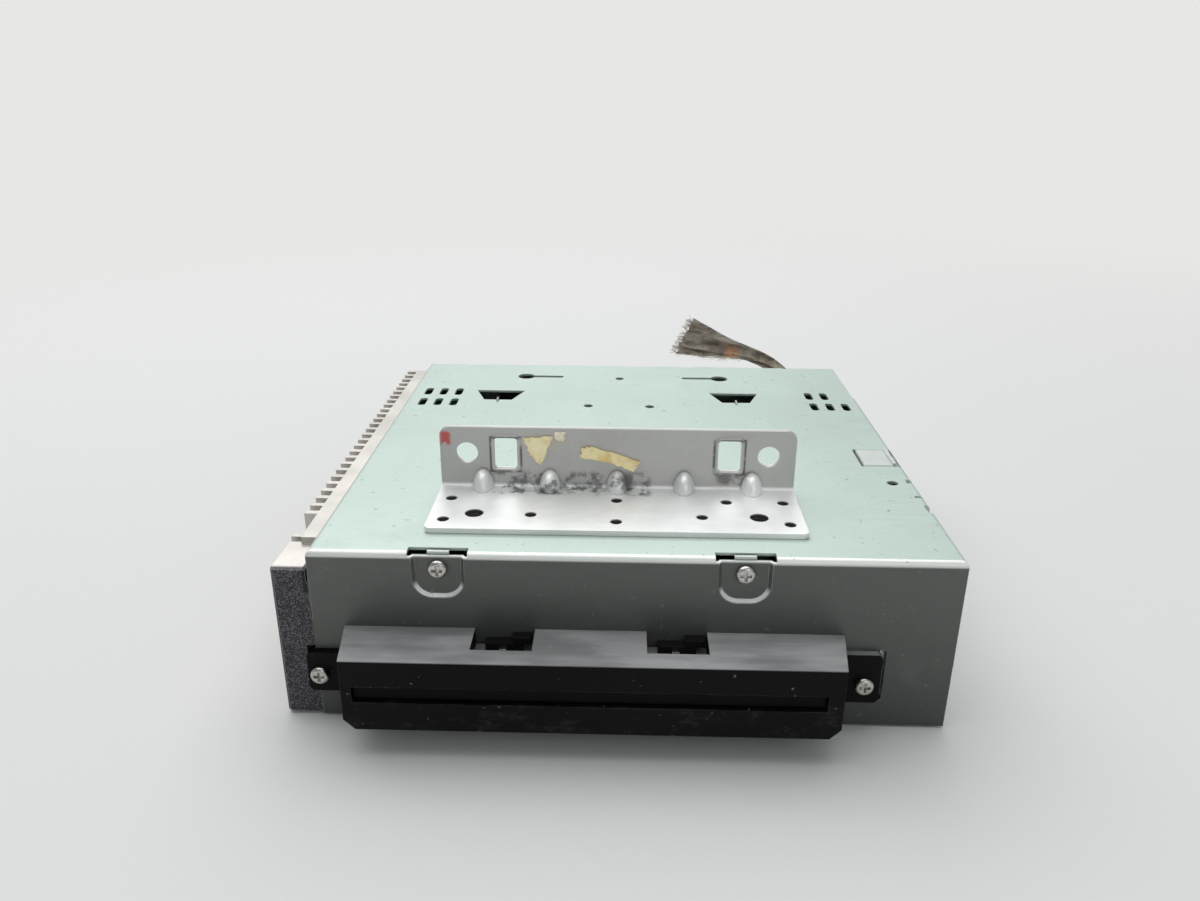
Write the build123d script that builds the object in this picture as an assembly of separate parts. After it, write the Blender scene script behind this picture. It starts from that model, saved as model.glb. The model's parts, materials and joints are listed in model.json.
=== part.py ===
from build123d import *
import math
import os

# A slot-loading six-disc changer for a car dashboard. Lengths are in millimetres.
# The case is drawn with x = 0 at its middle, y = 0 at its front panel and z = 0 at its floor.
# The last step shifts every piece, so that the origin is below the middle of the whole object.

# ------------------------------------------------------------------ driving sizes
# Case
CASE_WIDTH = 178.0
CASE_DEPTH = 178.2
CASE_HEIGHT = 53.0
SHEET = 0.9
SKIN_GAP = 0.05
BEND = 1.6
SIDE_FLANGE = 9.0
REAR_FLANGE = 7.0
COVER_LIFT = 0.3
FIT = 0.05
RUNNING = 0.08
AIR = 0.3

# Openings pressed and cut in the top of the cover
VENT_WIDTH = 3.0
VENT_LENGTH = 8.5
VENT_PITCH = 6.1
VENT_ROW_PITCH = 12.8
VENT_FROM_BACK = 39.8
VENT_FROM_LEFT = 7.0
VENT_FROM_RIGHT = 6.3
REAR_VENT_Z = 12.0
WINDOW_OFFSET = -6.2
WINDOW_HALF_PITCH = 46.8
WINDOW_BACK_WIDTH = 19.4
WINDOW_FRONT_WIDTH = 10.8
WINDOW_LENGTH = 11.7
WINDOW_FROM_BACK = 37.5
KEYHOLE_OFFSET = -4.0
KEYHOLE_HALF_PITCH = 40.7
KEYHOLE_RADIUS = 3.5
KEYHOLE_SLOT = 14.5
KEYHOLE_SLOT_WIDTH = 2.6
KEYHOLE_FROM_BACK = 17.9
TOOL_HOLE_RADIUS = 1.75
CLIP_HOLE_WIDTH = 13.5
CLIP_HOLE_LENGTH = 15.0
CLIP_HOLE_Y = 73.5
CLIP_FROM_RIGHT = 7.8

# Front panel
DISC_FROM_LEFT = 77.3
POCKET_HALF_PITCH = 41.6
POCKET_WIDTH = 14.4
POCKET_DROP = 13.7
POCKET_DEPTH = 1.05
POCKET_DRAFT = 0.9
POCKET_TAB_WIDTH = 6.0
POCKET_SLOT_WIDTH = 16.4
COVER_SCREW_DROP = 5.0
SCREW_HEAD_RADIUS = 2.7
SCREW_HEAD_HEIGHT = 1.9
SCREW_RADIUS = 1.5
SCREW_LENGTH = 6.0
CROSS_WIDTH = 0.8
CROSS_LENGTH = 3.0
CROSS_DEPTH = 1.1

# Mounting bracket
BRACKET_OFFSET = -5.2
BRACKET_WIDTH = 108.0
BRACKET_THICKNESS = 1.6
BRACKET_FRONT_Y = 12.0
BRACKET_BASE_LENGTH = 31.6
BRACKET_HEIGHT = 20.7
BRACKET_BEND = 2.4
BRACKET_CORNER = 3.0
FLANGE_HOLE_RADIUS = 3.35
FLANGE_HOLE_PITCH = 91.6
FLANGE_HOLE_RISE = 12.4
FLANGE_WINDOW_WIDTH = 7.0
FLANGE_WINDOW_HEIGHT = 10.1
FLANGE_WINDOW_PITCH = 67.9
FLANGE_RIM = 0.8
CLINCH_RADIUS = 1.7
CLINCH_WALL = 0.5
CLINCH_DEPTH = 1.3
CLINCH_PITCH = 49.4
CLINCH_ROW_PITCH = 14.4
CLINCH_FRONT_GAP = 6.0
BRACKET_BOLT_RADIUS = 2.7
BRACKET_BOLT_HALF_PITCH = 41.1
GUSSET_COUNT = 5
GUSSET_PITCH = 20.5
GUSSET_WIDTH = 4.4
GUSSET_SIZE = 4.6

# Mouth housing and its dust flap
MOUTH_OFFSET = 0.7
MOUTH_HALF_WIDTH = 69.2
MOUTH_DRAFT = 2.7
MOUTH_REACH = 17.4
MOUTH_BOTTOM_Z = 8.6
MOUTH_TOP_Z = 30.0
MOUTH_WALL = 2.0
MOUTH_CORNER = 3.0
SLOT_HALF_WIDTH = 63.0
SLOT_BOTTOM_Z = 17.2
SLOT_TOP_Z = 22.0
NOTCH_HALF_PITCH = 23.7
NOTCH_WIDTH = 16.6
NOTCH_LENGTH = 10.8
NOTCH_DEPTH = 5.0
FRONT_LIP = 1.1
FLAP_THICKNESS = 1.2
FLAP_AXIS_Z = 22.9
FLAP_PIN_RADIUS = 0.8
FLAP_PIN_LENGTH = 1.6
EAR_RIGHT_REACH = 6.1
EAR_LEFT_REACH = 7.5
EAR_PROUD = 2.1
EAR_RIGHT_TOP_Z = 25.0
EAR_RIGHT_BOTTOM_Z = 9.4
EAR_LEFT_TOP_Z = 22.1
EAR_LEFT_BOTTOM_Z = 9.7
EAR_SCREW_Z = 15.4
EAR_SCREW_LENGTH = 6.5
EAR_RIGHT_MARGIN = 4.6
EAR_LEFT_MARGIN = 3.6

# Heat sink on the left wall
SINK_THICKNESS = 5.8
SINK_STEP = 1.6
SINK_FIN_DEPTH = 4.0
SINK_FIN_THICKNESS = 2.0
SINK_FIN_PITCH = 5.6
SINK_FIN_COUNT = 27
SINK_FIRST_FIN_Y = 31.6
SINK_TOP_DROP = 4.0
SINK_BOTTOM_Z = 0.8
SINK_BLOCK_LENGTH = 17.0
SINK_BLOCK_DROP = 2.0
SINK_BAR_Y = 19.2
SINK_SCREW_INSET = 12.0
SINK_SCREW_LENGTH = 4.6

# Carrier frame of the mechanism, floating on dampers
FRAME_FLOOR_Z = 5.0
FRAME_LEFT_GAP = 5.25
FRAME_RIGHT_GAP = 1.25
FRAME_FRONT_GAP = 1.5
FRAME_BACK_GAP = 4.35
FRAME_SIDE_TOP_Z = 36.0
FRAME_WINDOW_RADIUS = 44.0
DAMPER_RADIUS = 5.0
DAMPER_INSET = 13.0
SPRING_ARM_WIDTH = 6.0
SPRING_ARM_Z = 35.0
SPRING_RADIUS = 2.6
SPRING_WIRE = 0.45
SPRING_TURNS = 8

# Disc trays
DISC_RADIUS = 60.0
DISC_THICKNESS = 1.2
DISC_Y = 80.0
DISC_Z = 19.8
TRAY_OUTER_RADIUS = 63.0
TRAY_INNER_RADIUS = 48.0
TRAY_THICKNESS = 1.0
TRAY_PITCH = 3.0
TRAY_FIRST_Z = 12.0
TRAYS_IN_STACK = 3
TRAY_TRAVEL = 4.8
TRAY_START_ANGLE = 80.0
TRAY_END_ANGLE = 250.0
TRAY_EAR_WIDTH = 8.0
TRAY_EAR_HALF_PITCH = 24.0
TRAY_TAB_WIDTH = 10.0
PEG_RADIUS = 0.7
PEG_REACH = 2.6
GUIDE_POST_RADIUS = 1.5
GUIDE_POST_GAP = 9.0

# Cam plate that spreads the trays, and its rack and motor
CAM_THICKNESS = 1.0
CAM_TRAVEL = 14.0
CAM_FROM_FRAME = 1.6
CAM_STUD_RADIUS = 1.4
CAM_STUD_LOW_Z = 11.5
CAM_STUD_HIGH_Z = 28.5
CAM_WEB = 1.0
RACK_PITCH_Z = 15.2
LIFT_TEETH = 12
LIFT_GEAR_Y = 148.0
LIFT_GEAR_WIDTH = 2.0

# Gears
MODULE = 0.8
PRESSURE_ANGLE = 25.0
ADDENDUM = 0.8
DEDENDUM = 1.1
BACKLASH = 0.16

# Feed roller and its gear train
ROLLER_Y = 11.2
ROLLER_RADIUS = 5.4
ROLLER_WAIST_RADIUS = 4.4
ROLLER_GAP = 6.0
ROLLER_SHAFT_RADIUS = 1.5
ROLLER_TEETH = 12
IDLER_TEETH = 20
FEED_PINION_TEETH = 10
IDLER_RISE = 3.1
FEED_MOTOR_ANGLE = 73.5
FEED_GEAR_WIDTH = 3.0
BUSH_RADIUS = 3.2
PLATE_TOP_Z = 38.0
GUIDE_LENGTH = 11.0
GUIDE_THICKNESS = 1.6

# Motors
MOTOR_RADIUS = 7.5
MOTOR_FLAT = 12.0
MOTOR_LENGTH = 15.0
MOTOR_BOSS_RADIUS = 2.5
MOTOR_BOSS_HEIGHT = 0.9
MOTOR_SHAFT_RADIUS = 0.75
SMALL_MOTOR_RADIUS = 6.0
SMALL_MOTOR_FLAT = 10.0
SMALL_MOTOR_LENGTH = 13.0

# Playback deck that swings in under the disc
DECK_FROM_RIGHT = 18.0
DECK_PIVOT_Y = 25.0
DECK_HALF_WIDTH = 13.0
DECK_Z = 14.5
DECK_SHEET = 1.0
DECK_HUB_RADIUS = 5.0
DECK_FLANGE_RADIUS = 8.0
DECK_POST_RADIUS = 3.0
DECK_GEAR_TEETH = 24
DECK_GEAR_Z = 6.4
DECK_GEAR_WIDTH = 3.0
SWING_PINION_TEETH = 11
SPINDLE_MOTOR_RADIUS = 12.0
PLATTER_RADIUS = 14.0
PLATTER_THICKNESS = 1.4
PLATTER_BOSS_RADIUS = 7.4
SLED_ROD_HALF_PITCH = 8.5
SLED_ROD_RADIUS = 1.0
SLED_ROD_Z = 17.6
SLED_LENGTH = 16.0
SLED_WIDTH = 22.0
SLED_INNER_RADIUS = 25.0
SLED_TRAVEL = 33.0
SLED_SCREW_OFFSET = -3.5
SLED_SCREW_RADIUS = 1.1
SLED_MOTOR_RADIUS = 4.0
SLED_MOTOR_LENGTH = 12.0
LENS_RADIUS = 1.9
CLAMP_AXIS_REACH = 20.0
CLAMP_AXIS_Z = 22.8
CLAMP_PIN_RADIUS = 1.0
CLAMP_EAR_OFFSET = 10.0
CLAMP_PLATE_Z = 24.2
CLAMP_SHEET = 0.8
PUCK_RADIUS = 10.0

# Circuit boards and connectors
BOARD_DROP = 6.8
BOARD_THICKNESS = 1.6
BOARD_GAP = 1.2
BOARD_TAB = 6.0
SERVO_BOARD_LENGTH = 22.0
SERVO_BOARD_THICKNESS = 1.2
CAPACITOR_RADIUS = 4.0
CAPACITOR_HEIGHT = 7.5
MAIN_CONNECTOR_WIDTH = 46.0
MAIN_CONNECTOR_HEIGHT = 21.0
MAIN_CONNECTOR_PROUD = 8.8
MAIN_CONNECTOR_OFFSET = -6.0
MAIN_CONTACT_COLUMNS = 8
BUS_CONNECTOR_WIDTH = 18.0
BUS_CONNECTOR_HEIGHT = 11.0
BUS_CONNECTOR_OFFSET = -49.0
BUS_CONNECTOR_PROUD = 4.0
BUS_CONTACT_COLUMNS = 4
PLUG_DEPTH = 5.0

# Ground strap
STRAP_DIAMETER = 10.0
STRAP_ARC_SHARE = 0.45
LUG_FROM_RIGHT = 12.0
LUG_Z = 16.0
LUG_RADIUS = 5.0
LUG_THICKNESS = 1.0
LUG_NECK_WIDTH = 6.8
STRAP_FROM_LUG = 6.0
STRAP_RISE = 4.0
BARREL_LENGTH = 6.0
BARREL_WALL = 0.8
STRAP_FIT = 0.05
STRAP_RUNS = [(0.0, 12.0, 9.0), (-6.9, 10.4, 10.0), (-13.1, 6.1, 8.9), (-16.2, 0.0, 5.3), (-15.2, 0.8, 4.0)]

# ------------------------------------------------------------------ places worked out from the sizes
left = -CASE_WIDTH / 2
right = CASE_WIDTH / 2
back = CASE_DEPTH
cover_under = CASE_HEIGHT - SHEET
pan_left = left + SHEET + SKIN_GAP
pan_right = right - SHEET - SKIN_GAP
pan_front = POCKET_DEPTH + SHEET + SKIN_GAP
pan_back = back - SHEET - SKIN_GAP
pan_top = cover_under - (BEND - SHEET) - SKIN_GAP
inner_left = pan_left + SHEET
inner_right = pan_right - SHEET
inner_front = pan_front + SHEET
inner_back = pan_back - SHEET
disc_x = left + DISC_FROM_LEFT
pocket_floor_z = CASE_HEIGHT - POCKET_DROP
cover_screw_z = CASE_HEIGHT - COVER_SCREW_DROP
board_z = CASE_HEIGHT - BOARD_DROP - BOARD_THICKNESS
sink_top_z = CASE_HEIGHT - SINK_TOP_DROP
sink_step_z = CASE_HEIGHT - SIDE_FLANGE - 1.0
frame_left = inner_left + FRAME_LEFT_GAP
frame_right = inner_right - FRAME_RIGHT_GAP
frame_front = inner_front + FRAME_FRONT_GAP
frame_back = inner_back - FRAME_BACK_GAP
frame_floor_top = FRAME_FLOOR_Z + SHEET
window_front_y = back - WINDOW_FROM_BACK - WINDOW_LENGTH
pivot_x = right - DECK_FROM_RIGHT
arm_length = math.hypot(pivot_x - disc_x, DISC_Y - DECK_PIVOT_Y)
swing_angle = math.degrees(math.atan2(DISC_Y - DECK_PIVOT_Y, disc_x - pivot_x)) - 90.0
cam_left = frame_left + SHEET + CAM_FROM_FRAME
cam_right = cam_left + CAM_THICKNESS
tray_left = cam_right + 1.1
tray_zs = [TRAY_FIRST_Z + TRAY_PITCH * number for number in range(2 * TRAYS_IN_STACK)]
roller_z = DISC_Z - ROLLER_RADIUS
feed_plate_x = inner_left + 12.6
bush_plate_x = pivot_x - 17.5
mouth_x = disc_x + MOUTH_OFFSET
right_ear_x = mouth_x + MOUTH_HALF_WIDTH + EAR_RIGHT_REACH
left_ear_x = mouth_x - MOUTH_HALF_WIDTH - EAR_LEFT_REACH
board_back = frame_back


# ------------------------------------------------------------------ helpers
def block(x0, x1, y0, y1, z0, z1):
    """A box from its six face positions."""
    centre = ((x0 + x1) / 2, (y0 + y1) / 2, (z0 + z1) / 2)
    return Pos(*centre) * Box(x1 - x0, y1 - y0, z1 - z0)


def plane_at(x, y, z, axis):
    """A plane through a point whose normal is the named axis."""
    normals = {"x": ((0, 1, 0), (1, 0, 0)), "y": ((0, 0, 1), (0, 1, 0)), "z": ((1, 0, 0), (0, 0, 1))}
    x_direction, z_direction = normals[axis]
    return Plane(origin=(x, y, z), x_dir=x_direction, z_dir=z_direction)


def rod(x, y, z, radius, length, axis="z"):
    """A cylinder that starts at a point and runs along the named axis."""
    return plane_at(x, y, z, axis) * extrude(Circle(radius), length)


def tube(x, y, z, radius, bore, length, axis="z"):
    """A hollow cylinder that starts at a point and runs along the named axis."""
    return plane_at(x, y, z, axis) * extrude(Circle(radius) - Circle(bore), length)


def capsule(y0, z0, y1, z1, radius):
    """A flat slot outline between two points of the side plane."""
    length = math.hypot(y1 - y0, z1 - z0)
    angle = math.degrees(math.atan2(z1 - z0, y1 - y0))
    return Pos((y0 + y1) / 2, (z0 + z1) / 2) * Rot(0, 0, angle) * SlotCenterToCenter(length, 2 * radius)


def group(pieces):
    """Separate solids kept together in one node."""
    solids = []
    for piece in pieces:
        solids.extend(piece.solids())
    return Compound(solids)


def involute(angle):
    return math.tan(angle) - angle


def gear_outline(teeth, tooth_angle):
    """A gear's outline with one tooth centred at the given angle, in degrees."""
    pitch = MODULE * teeth / 2
    base = pitch * math.cos(math.radians(PRESSURE_ANGLE))
    tip = pitch + ADDENDUM * MODULE
    root = pitch - DEDENDUM * MODULE
    half_at_pitch = (math.pi * MODULE / 2 - BACKLASH) / (2 * pitch)
    flank = []
    for share in (0.0, 0.4, 0.72, 1.0):
        radius = max(base, root) + (tip - max(base, root)) * share
        pressure = math.acos(min(1.0, base / radius))
        half = half_at_pitch + involute(math.radians(PRESSURE_ANGLE)) - involute(pressure)
        flank.append((radius, half))
    points = []
    for tooth in range(teeth):
        middle = math.radians(tooth_angle) + 2 * math.pi * tooth / teeth
        sides = [(root, -flank[0][1])] + [(radius, -half) for radius, half in flank]
        sides = sides + [(radius, half) for radius, half in reversed(flank)] + [(root, flank[0][1])]
        for radius, half in sides:
            point = (radius * math.cos(middle + half), radius * math.sin(middle + half))
            if not points or math.dist(point, points[-1]) > 0.02:
                points.append(point)
    return make_face(Polyline(*points, close=True))


def spur_gear(teeth, width, bore, tooth_angle):
    """A spur gear on the local z axis."""
    outline = gear_outline(teeth, tooth_angle)
    if bore > 0:
        outline = outline - Circle(bore)
    return extrude(outline, width)


def pan_head_screw(x, y, z, length, axis, sign):
    """A cross-recessed pan-head screw; the head's seat is at the point and the shank runs along sign."""
    head = extrude(Circle(SCREW_HEAD_RADIUS), -SCREW_HEAD_HEIGHT)
    head = fillet(head.edges().sort_by(Axis.Z)[0], SCREW_HEAD_HEIGHT * 0.55)
    shank = extrude(Circle(SCREW_RADIUS), length)
    cross = Rectangle(CROSS_LENGTH, CROSS_WIDTH) + Rectangle(CROSS_WIDTH, CROSS_LENGTH)
    recess = Pos(0, 0, -SCREW_HEAD_HEIGHT) * extrude(cross, CROSS_DEPTH)
    plane = plane_at(x, y, z, axis)
    if sign < 0:
        plane = Plane(origin=plane.origin, x_dir=plane.x_dir, z_dir=-plane.z_dir)
    return plane * (head + shank - recess)


def motor(plane, radius, flat, length):
    """A small flat-sided motor whose front face lies on the plane and whose boss points along it."""
    can = Circle(radius) & Rectangle(3 * radius, flat)
    body = extrude(can, -length)
    boss = extrude(Circle(MOTOR_BOSS_RADIUS), MOTOR_BOSS_HEIGHT)
    bore = Pos(0, 0, -2.4) * extrude(Circle(MOTOR_SHAFT_RADIUS + RUNNING), 2.4 + MOTOR_BOSS_HEIGHT)
    end_cap = Pos(0, 0, -length) * extrude(Circle(radius * 0.42), -0.8)
    return plane * (body + boss + end_cap - bore)


def pinion(plane, teeth, width, tooth_angle, stand_off):
    """A motor pinion: its shaft runs back into the motor's boss."""
    wheel = spur_gear(teeth, width, 0, tooth_angle)
    shaft = Pos(0, 0, -stand_off - 2.0 - MOTOR_BOSS_HEIGHT)
    shaft = shaft * extrude(Circle(MOTOR_SHAFT_RADIUS), stand_off + 2.0 + MOTOR_BOSS_HEIGHT)
    return plane * (wheel + shaft)


# ------------------------------------------------------------------ case
def base_pan():
    """The lower shell: floor, four walls, tabs for the cover screws and shelves for the board."""
    outer = block(pan_left, pan_right, pan_front, pan_back, 0, pan_top)
    outer = fillet(outer.edges().group_by(Axis.Z)[0], BEND)
    inner = block(inner_left, inner_right, inner_front, inner_back, SHEET, pan_top + 1)
    inner = fillet(inner.edges().group_by(Axis.Z)[0], BEND - SHEET)
    pan = outer - inner
    front_top = pocket_floor_z - 3.0
    pan -= block(left, right, 0, inner_front + BEND, front_top, CASE_HEIGHT)
    for x in front_screw_xs():
        half = POCKET_TAB_WIDTH / 2
        tab = block(x - half, x + half, pan_front, inner_front, front_top, CASE_HEIGHT - 0.4)
        pan += tab
        pan -= rod(x, pan_front - 1, cover_screw_z, SCREW_RADIUS + FIT, SHEET + 2, "y")
    slot_low = SLOT_BOTTOM_Z - 0.4
    slot_high = SLOT_TOP_Z + 0.4
    half_slot = SLOT_HALF_WIDTH + 0.8
    pan -= block(disc_x - half_slot, disc_x + half_slot, 0, inner_front + 1, slot_low, slot_high)
    ear_tab_left = left_ear_x - EAR_LEFT_MARGIN + 1.1
    pan += block(ear_tab_left, pan_left + 1, pan_front, inner_front, EAR_LEFT_BOTTOM_Z, EAR_LEFT_TOP_Z)
    relief_low = EAR_LEFT_BOTTOM_Z + 1.2
    relief_high = EAR_LEFT_TOP_Z - 1.2
    pan -= block(left, inner_left + 0.5, inner_front, inner_front + 5.0, relief_low, relief_high)
    for x in (left_ear_x, right_ear_x):
        pan -= rod(x, pan_front - 1, EAR_SCREW_Z, SCREW_RADIUS + FIT, SHEET + 2, "y")
    for y in board_screw_ys():
        for wall, inward in ((inner_left, 1), (inner_right, -1)):
            edge = wall + inward * BOARD_TAB
            pan += block(min(wall, edge), max(wall, edge), y - 4, y + 4, board_z - SHEET, board_z)
            pan -= rod(wall + inward * 3.6, y, board_z - 2, SCREW_RADIUS + FIT, 4)
    connector_gap = 0.3
    for x, width, height in rear_connectors():
        half = width / 2 + connector_gap
        low = board_z - height - connector_gap
        pan -= block(x - half, x + half, inner_back - 1, back + 1, low, board_z + connector_gap)
    pan -= rod(right - LUG_FROM_RIGHT, inner_back - 1, LUG_Z, SCREW_RADIUS + FIT, SHEET + 2, "y")
    for y in sink_screw_ys():
        for z in sink_screw_zs():
            pan -= rod(pan_left - 1, y, z, SCREW_RADIUS + FIT, SHEET + 2, "x")
    for number in range(7):
        y = back - 30.0 - VENT_PITCH * number
        pan -= block(inner_right - 1, right, y - VENT_WIDTH / 2, y + VENT_WIDTH / 2, 16.0, 32.0)
        x = left + 20.0 + VENT_PITCH * number
        pan -= block(x - VENT_WIDTH / 2, x + VENT_WIDTH / 2, inner_back - 1, back,
                     REAR_VENT_Z, REAR_VENT_Z + 2 * VENT_LENGTH)
    for x in (disc_x - 34.0, disc_x + 34.0):
        bead = block(x - 3.0, x + 3.0, 30.0, back - 30.0, -1.0, 0.45)
        pan -= fillet(bead.edges().filter_by(Axis.Z), 2.9)
    return pan


def front_screw_xs():
    return [disc_x - POCKET_HALF_PITCH, disc_x + POCKET_HALF_PITCH]


def board_screw_ys():
    return [24.0, CASE_DEPTH - 62.0]


def sink_screw_ys():
    return [SINK_SCREW_INSET - 2.0, back - SINK_SCREW_INSET]


def sink_screw_zs():
    return [10.0 + 18.0, sink_step_z - 4.0]


def rear_connectors():
    """Middle, width and height of each connector that shows in the rear wall."""
    main = (MAIN_CONNECTOR_OFFSET, MAIN_CONNECTOR_WIDTH, MAIN_CONNECTOR_HEIGHT)
    bus = (BUS_CONNECTOR_OFFSET, BUS_CONNECTOR_WIDTH, BUS_CONNECTOR_HEIGHT)
    return [main, bus]


def cover_shell():
    """The bent cover before anything is cut in it."""
    outer = block(left, right, 0, back, 0, CASE_HEIGHT)
    outer = fillet(outer.edges().group_by(Axis.Z)[-1], BEND)
    inner = block(left + SHEET, right - SHEET, SHEET, back - SHEET, -1, cover_under)
    inner = fillet(inner.edges().group_by(Axis.Z)[-1], BEND - SHEET)
    shell = outer - inner
    flange_bottom = CASE_HEIGHT - SIDE_FLANGE
    shell -= block(left - 1, left + SHEET, SHEET, back + 1, -1, flange_bottom)
    shell -= block(right - SHEET, right + 1, SHEET, back + 1, -1, flange_bottom)
    shell -= block(left - 1, right + 1, back - SHEET, back + 1, -1, CASE_HEIGHT - REAR_FLANGE)
    shell -= block(left - 1, right + 1, -1, SHEET, -1, COVER_LIFT)
    return shell


def pocket_outline(half_width, floor_z, corner):
    """The outline of a pressed pocket, open at the bend, in the front panel's plane."""
    top = CASE_HEIGHT + 4.0
    middle = (floor_z + top) / 2
    outline = Pos(0, middle) * Rectangle(2 * half_width, top - floor_z)
    lower = outline.vertices().sort_by(Axis.Y)[:2]
    return fillet(lower, corner)


def pressed_pocket(x):
    """The void and the metal of one U-shaped pocket that seats a cover screw."""
    half = POCKET_WIDTH / 2
    front_plane = Plane(origin=(x, 0, 0), x_dir=(1, 0, 0), z_dir=(0, -1, 0))
    void_front = pocket_outline(half, pocket_floor_z, 5.4)
    void_back = pocket_outline(half - POCKET_DRAFT, pocket_floor_z + POCKET_DRAFT, 4.8)
    wall_front = pocket_outline(half + SHEET * 0.8, pocket_floor_z - SHEET * 0.8, 6.0)
    wall_back = pocket_outline(half - POCKET_DRAFT + SHEET * 0.8,
                               pocket_floor_z + POCKET_DRAFT - SHEET * 0.8, 5.4)
    depth = POCKET_DEPTH
    void = loft([front_plane * void_front, front_plane * (Pos(0, 0, -depth) * void_back)])
    metal = loft([front_plane * wall_front, front_plane * (Pos(0, 0, -depth - SHEET) * wall_back)])
    return void, metal


def top_cover():
    """The bent cover: top, front panel and short side and rear flanges."""
    cover = cover_shell()
    for x in front_screw_xs():
        void, metal = pressed_pocket(x)
        metal &= block(x - POCKET_WIDTH, x + POCKET_WIDTH, -1, pan_front, 0, cover_under - 0.4)
        cover = cover + metal - void
        half_slot = POCKET_SLOT_WIDTH / 2
        cover -= block(x - half_slot, x + half_slot, -1, inner_front + 0.6, cover_under - 0.4,
                       CASE_HEIGHT + 1)
        cover -= rod(x, -1, cover_screw_z, SCREW_RADIUS + FIT, 5, "y")
    cover -= front_window()
    cover -= top_openings()
    cover -= block(left - 1, left + BEND, -1, SHEET + 0.35, -1, CASE_HEIGHT - 1.2) - block(
        left - 2, left + BEND + 1, -2, SHEET, -2, CASE_HEIGHT)
    cover -= edge_notches()
    return cover


def front_window():
    """The opening for the mouth housing and its two ears, open at the left edge."""
    ear_right = right_ear_x + EAR_RIGHT_MARGIN + 1.4
    high = block(left + 20, ear_right, -1, SHEET + 0.1, MOUTH_BOTTOM_Z, EAR_RIGHT_TOP_Z + AIR)
    high = fillet(high.edges().filter_by(Axis.Y).sort_by(Axis.X)[-2:], 1.0)
    low = block(left - 5, left + 21, -1, SHEET + 0.1, EAR_LEFT_BOTTOM_Z - AIR, EAR_LEFT_TOP_Z + AIR)
    return high + low


def top_openings():
    """Everything that is cut through the top of the cover."""
    low = cover_under - 1
    deep = SHEET + 2
    cuts = []
    for row in range(2):
        y = back - VENT_FROM_BACK - VENT_ROW_PITCH * row
        columns = [(left + VENT_FROM_LEFT + VENT_PITCH * number, y) for number in range(3)]
        right_start = 1 - row
        columns += [(right - VENT_FROM_RIGHT - VENT_PITCH * number, y) for number in range(right_start, 3)]
        for x, row_y in columns:
            slot = Pos(x, row_y, low) * Rot(0, 0, 90) * extrude(SlotOverall(VENT_LENGTH, VENT_WIDTH), deep)
            cuts.append(slot)
    for side in (-1, 1):
        x = WINDOW_OFFSET + side * WINDOW_HALF_PITCH
        back_half = WINDOW_BACK_WIDTH / 2
        front_half = WINDOW_FRONT_WIDTH / 2
        shape = Polyline((x - back_half, back - WINDOW_FROM_BACK), (x + back_half, back - WINDOW_FROM_BACK),
                         (x + front_half, window_front_y), (x - front_half, window_front_y), close=True)
        cuts.append(Pos(0, 0, low) * extrude(make_face(shape), deep))
        x = KEYHOLE_OFFSET + side * KEYHOLE_HALF_PITCH
        y = back - KEYHOLE_FROM_BACK
        cuts.append(rod(x, y, low, KEYHOLE_RADIUS, deep))
        half = KEYHOLE_SLOT_WIDTH / 2
        reach = x - side * KEYHOLE_SLOT
        cuts.append(block(min(x, reach), max(x, reach), y - half, y + half, low, low + deep))
        cuts.append(rod(reach, y, low, half, deep))
    for x, y in ((BRACKET_OFFSET, back - 19.6), (BRACKET_OFFSET - 11.9, 123.1),
                 (BRACKET_OFFSET + 11.9, 123.1),
                 (right - 7.1, 52.4)):
        cuts.append(rod(x, y, low, TOOL_HOLE_RADIUS, deep))
    clip_x = clip_middle_x()
    half_width = CLIP_HOLE_WIDTH / 2
    half_length = CLIP_HOLE_LENGTH / 2
    cuts.append(block(clip_x - half_width, clip_x + half_width, CLIP_HOLE_Y - half_length,
                      CLIP_HOLE_Y + half_length, low, low + deep))
    for x, y in clinch_places():
        cuts.append(rod(x, y, low, CLINCH_RADIUS + CLINCH_WALL + FIT, deep))
    for side in (-1, 1):
        x = BRACKET_OFFSET + side * BRACKET_BOLT_HALF_PITCH
        cuts.append(rod(x, bracket_bolt_y(), low, BRACKET_BOLT_RADIUS, deep))
    return Compound([solid for cut in cuts for solid in cut.solids()])


def edge_notches():
    """Small reliefs along the bent right and rear edges of the cover."""
    high = CASE_HEIGHT + 1
    low = CASE_HEIGHT - SIDE_FLANGE - 1
    cuts = [block(right - 1.3, right + 1, back - 41.0, back + 1, low, high),
            block(right - 2.4, right + 1, 52.6, 55.4, low, high),
            block(right - 3.0, right + 1, 41.4, 42.6, low, high),
            block(right - 2.0, right + 1, 31.0, 36.0, low, high)]
    for x, width in ((-69.0, 8.0), (-48.0, 2.4), (0.5, 7.0), (24.0, 6.0), (67.0, 3.0)):
        cuts.append(block(x - width / 2, x + width / 2, back - 2.0, back + 1,
                          CASE_HEIGHT - REAR_FLANGE - 1, high))
    return Compound([solid for cut in cuts for solid in cut.solids()])


def clip_middle_x():
    return right - CLIP_FROM_RIGHT + 0.85


def side_clip():
    """A moulded clip that snaps in the rectangular hole near the cover's right edge."""
    x = clip_middle_x() - 0.9
    half_width = CLIP_HOLE_WIDTH / 2 - 1.9
    half_length = CLIP_HOLE_LENGTH / 2 - 0.4
    low = board_z + BOARD_THICKNESS
    body = block(x - half_width, x + half_width, CLIP_HOLE_Y - half_length, CLIP_HOLE_Y + half_length,
                 low, CASE_HEIGHT + 0.3)
    body = fillet(body.edges().group_by(Axis.Z)[-1], 0.8)
    rib_x = x + half_width
    rib = block(rib_x - 0.2, rib_x + 1.1, CLIP_HOLE_Y - half_length + 1, CLIP_HOLE_Y + half_length, low,
                CASE_HEIGHT + 0.7)
    return body + fillet(rib.edges().group_by(Axis.Z)[-1], 0.35)


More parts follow.
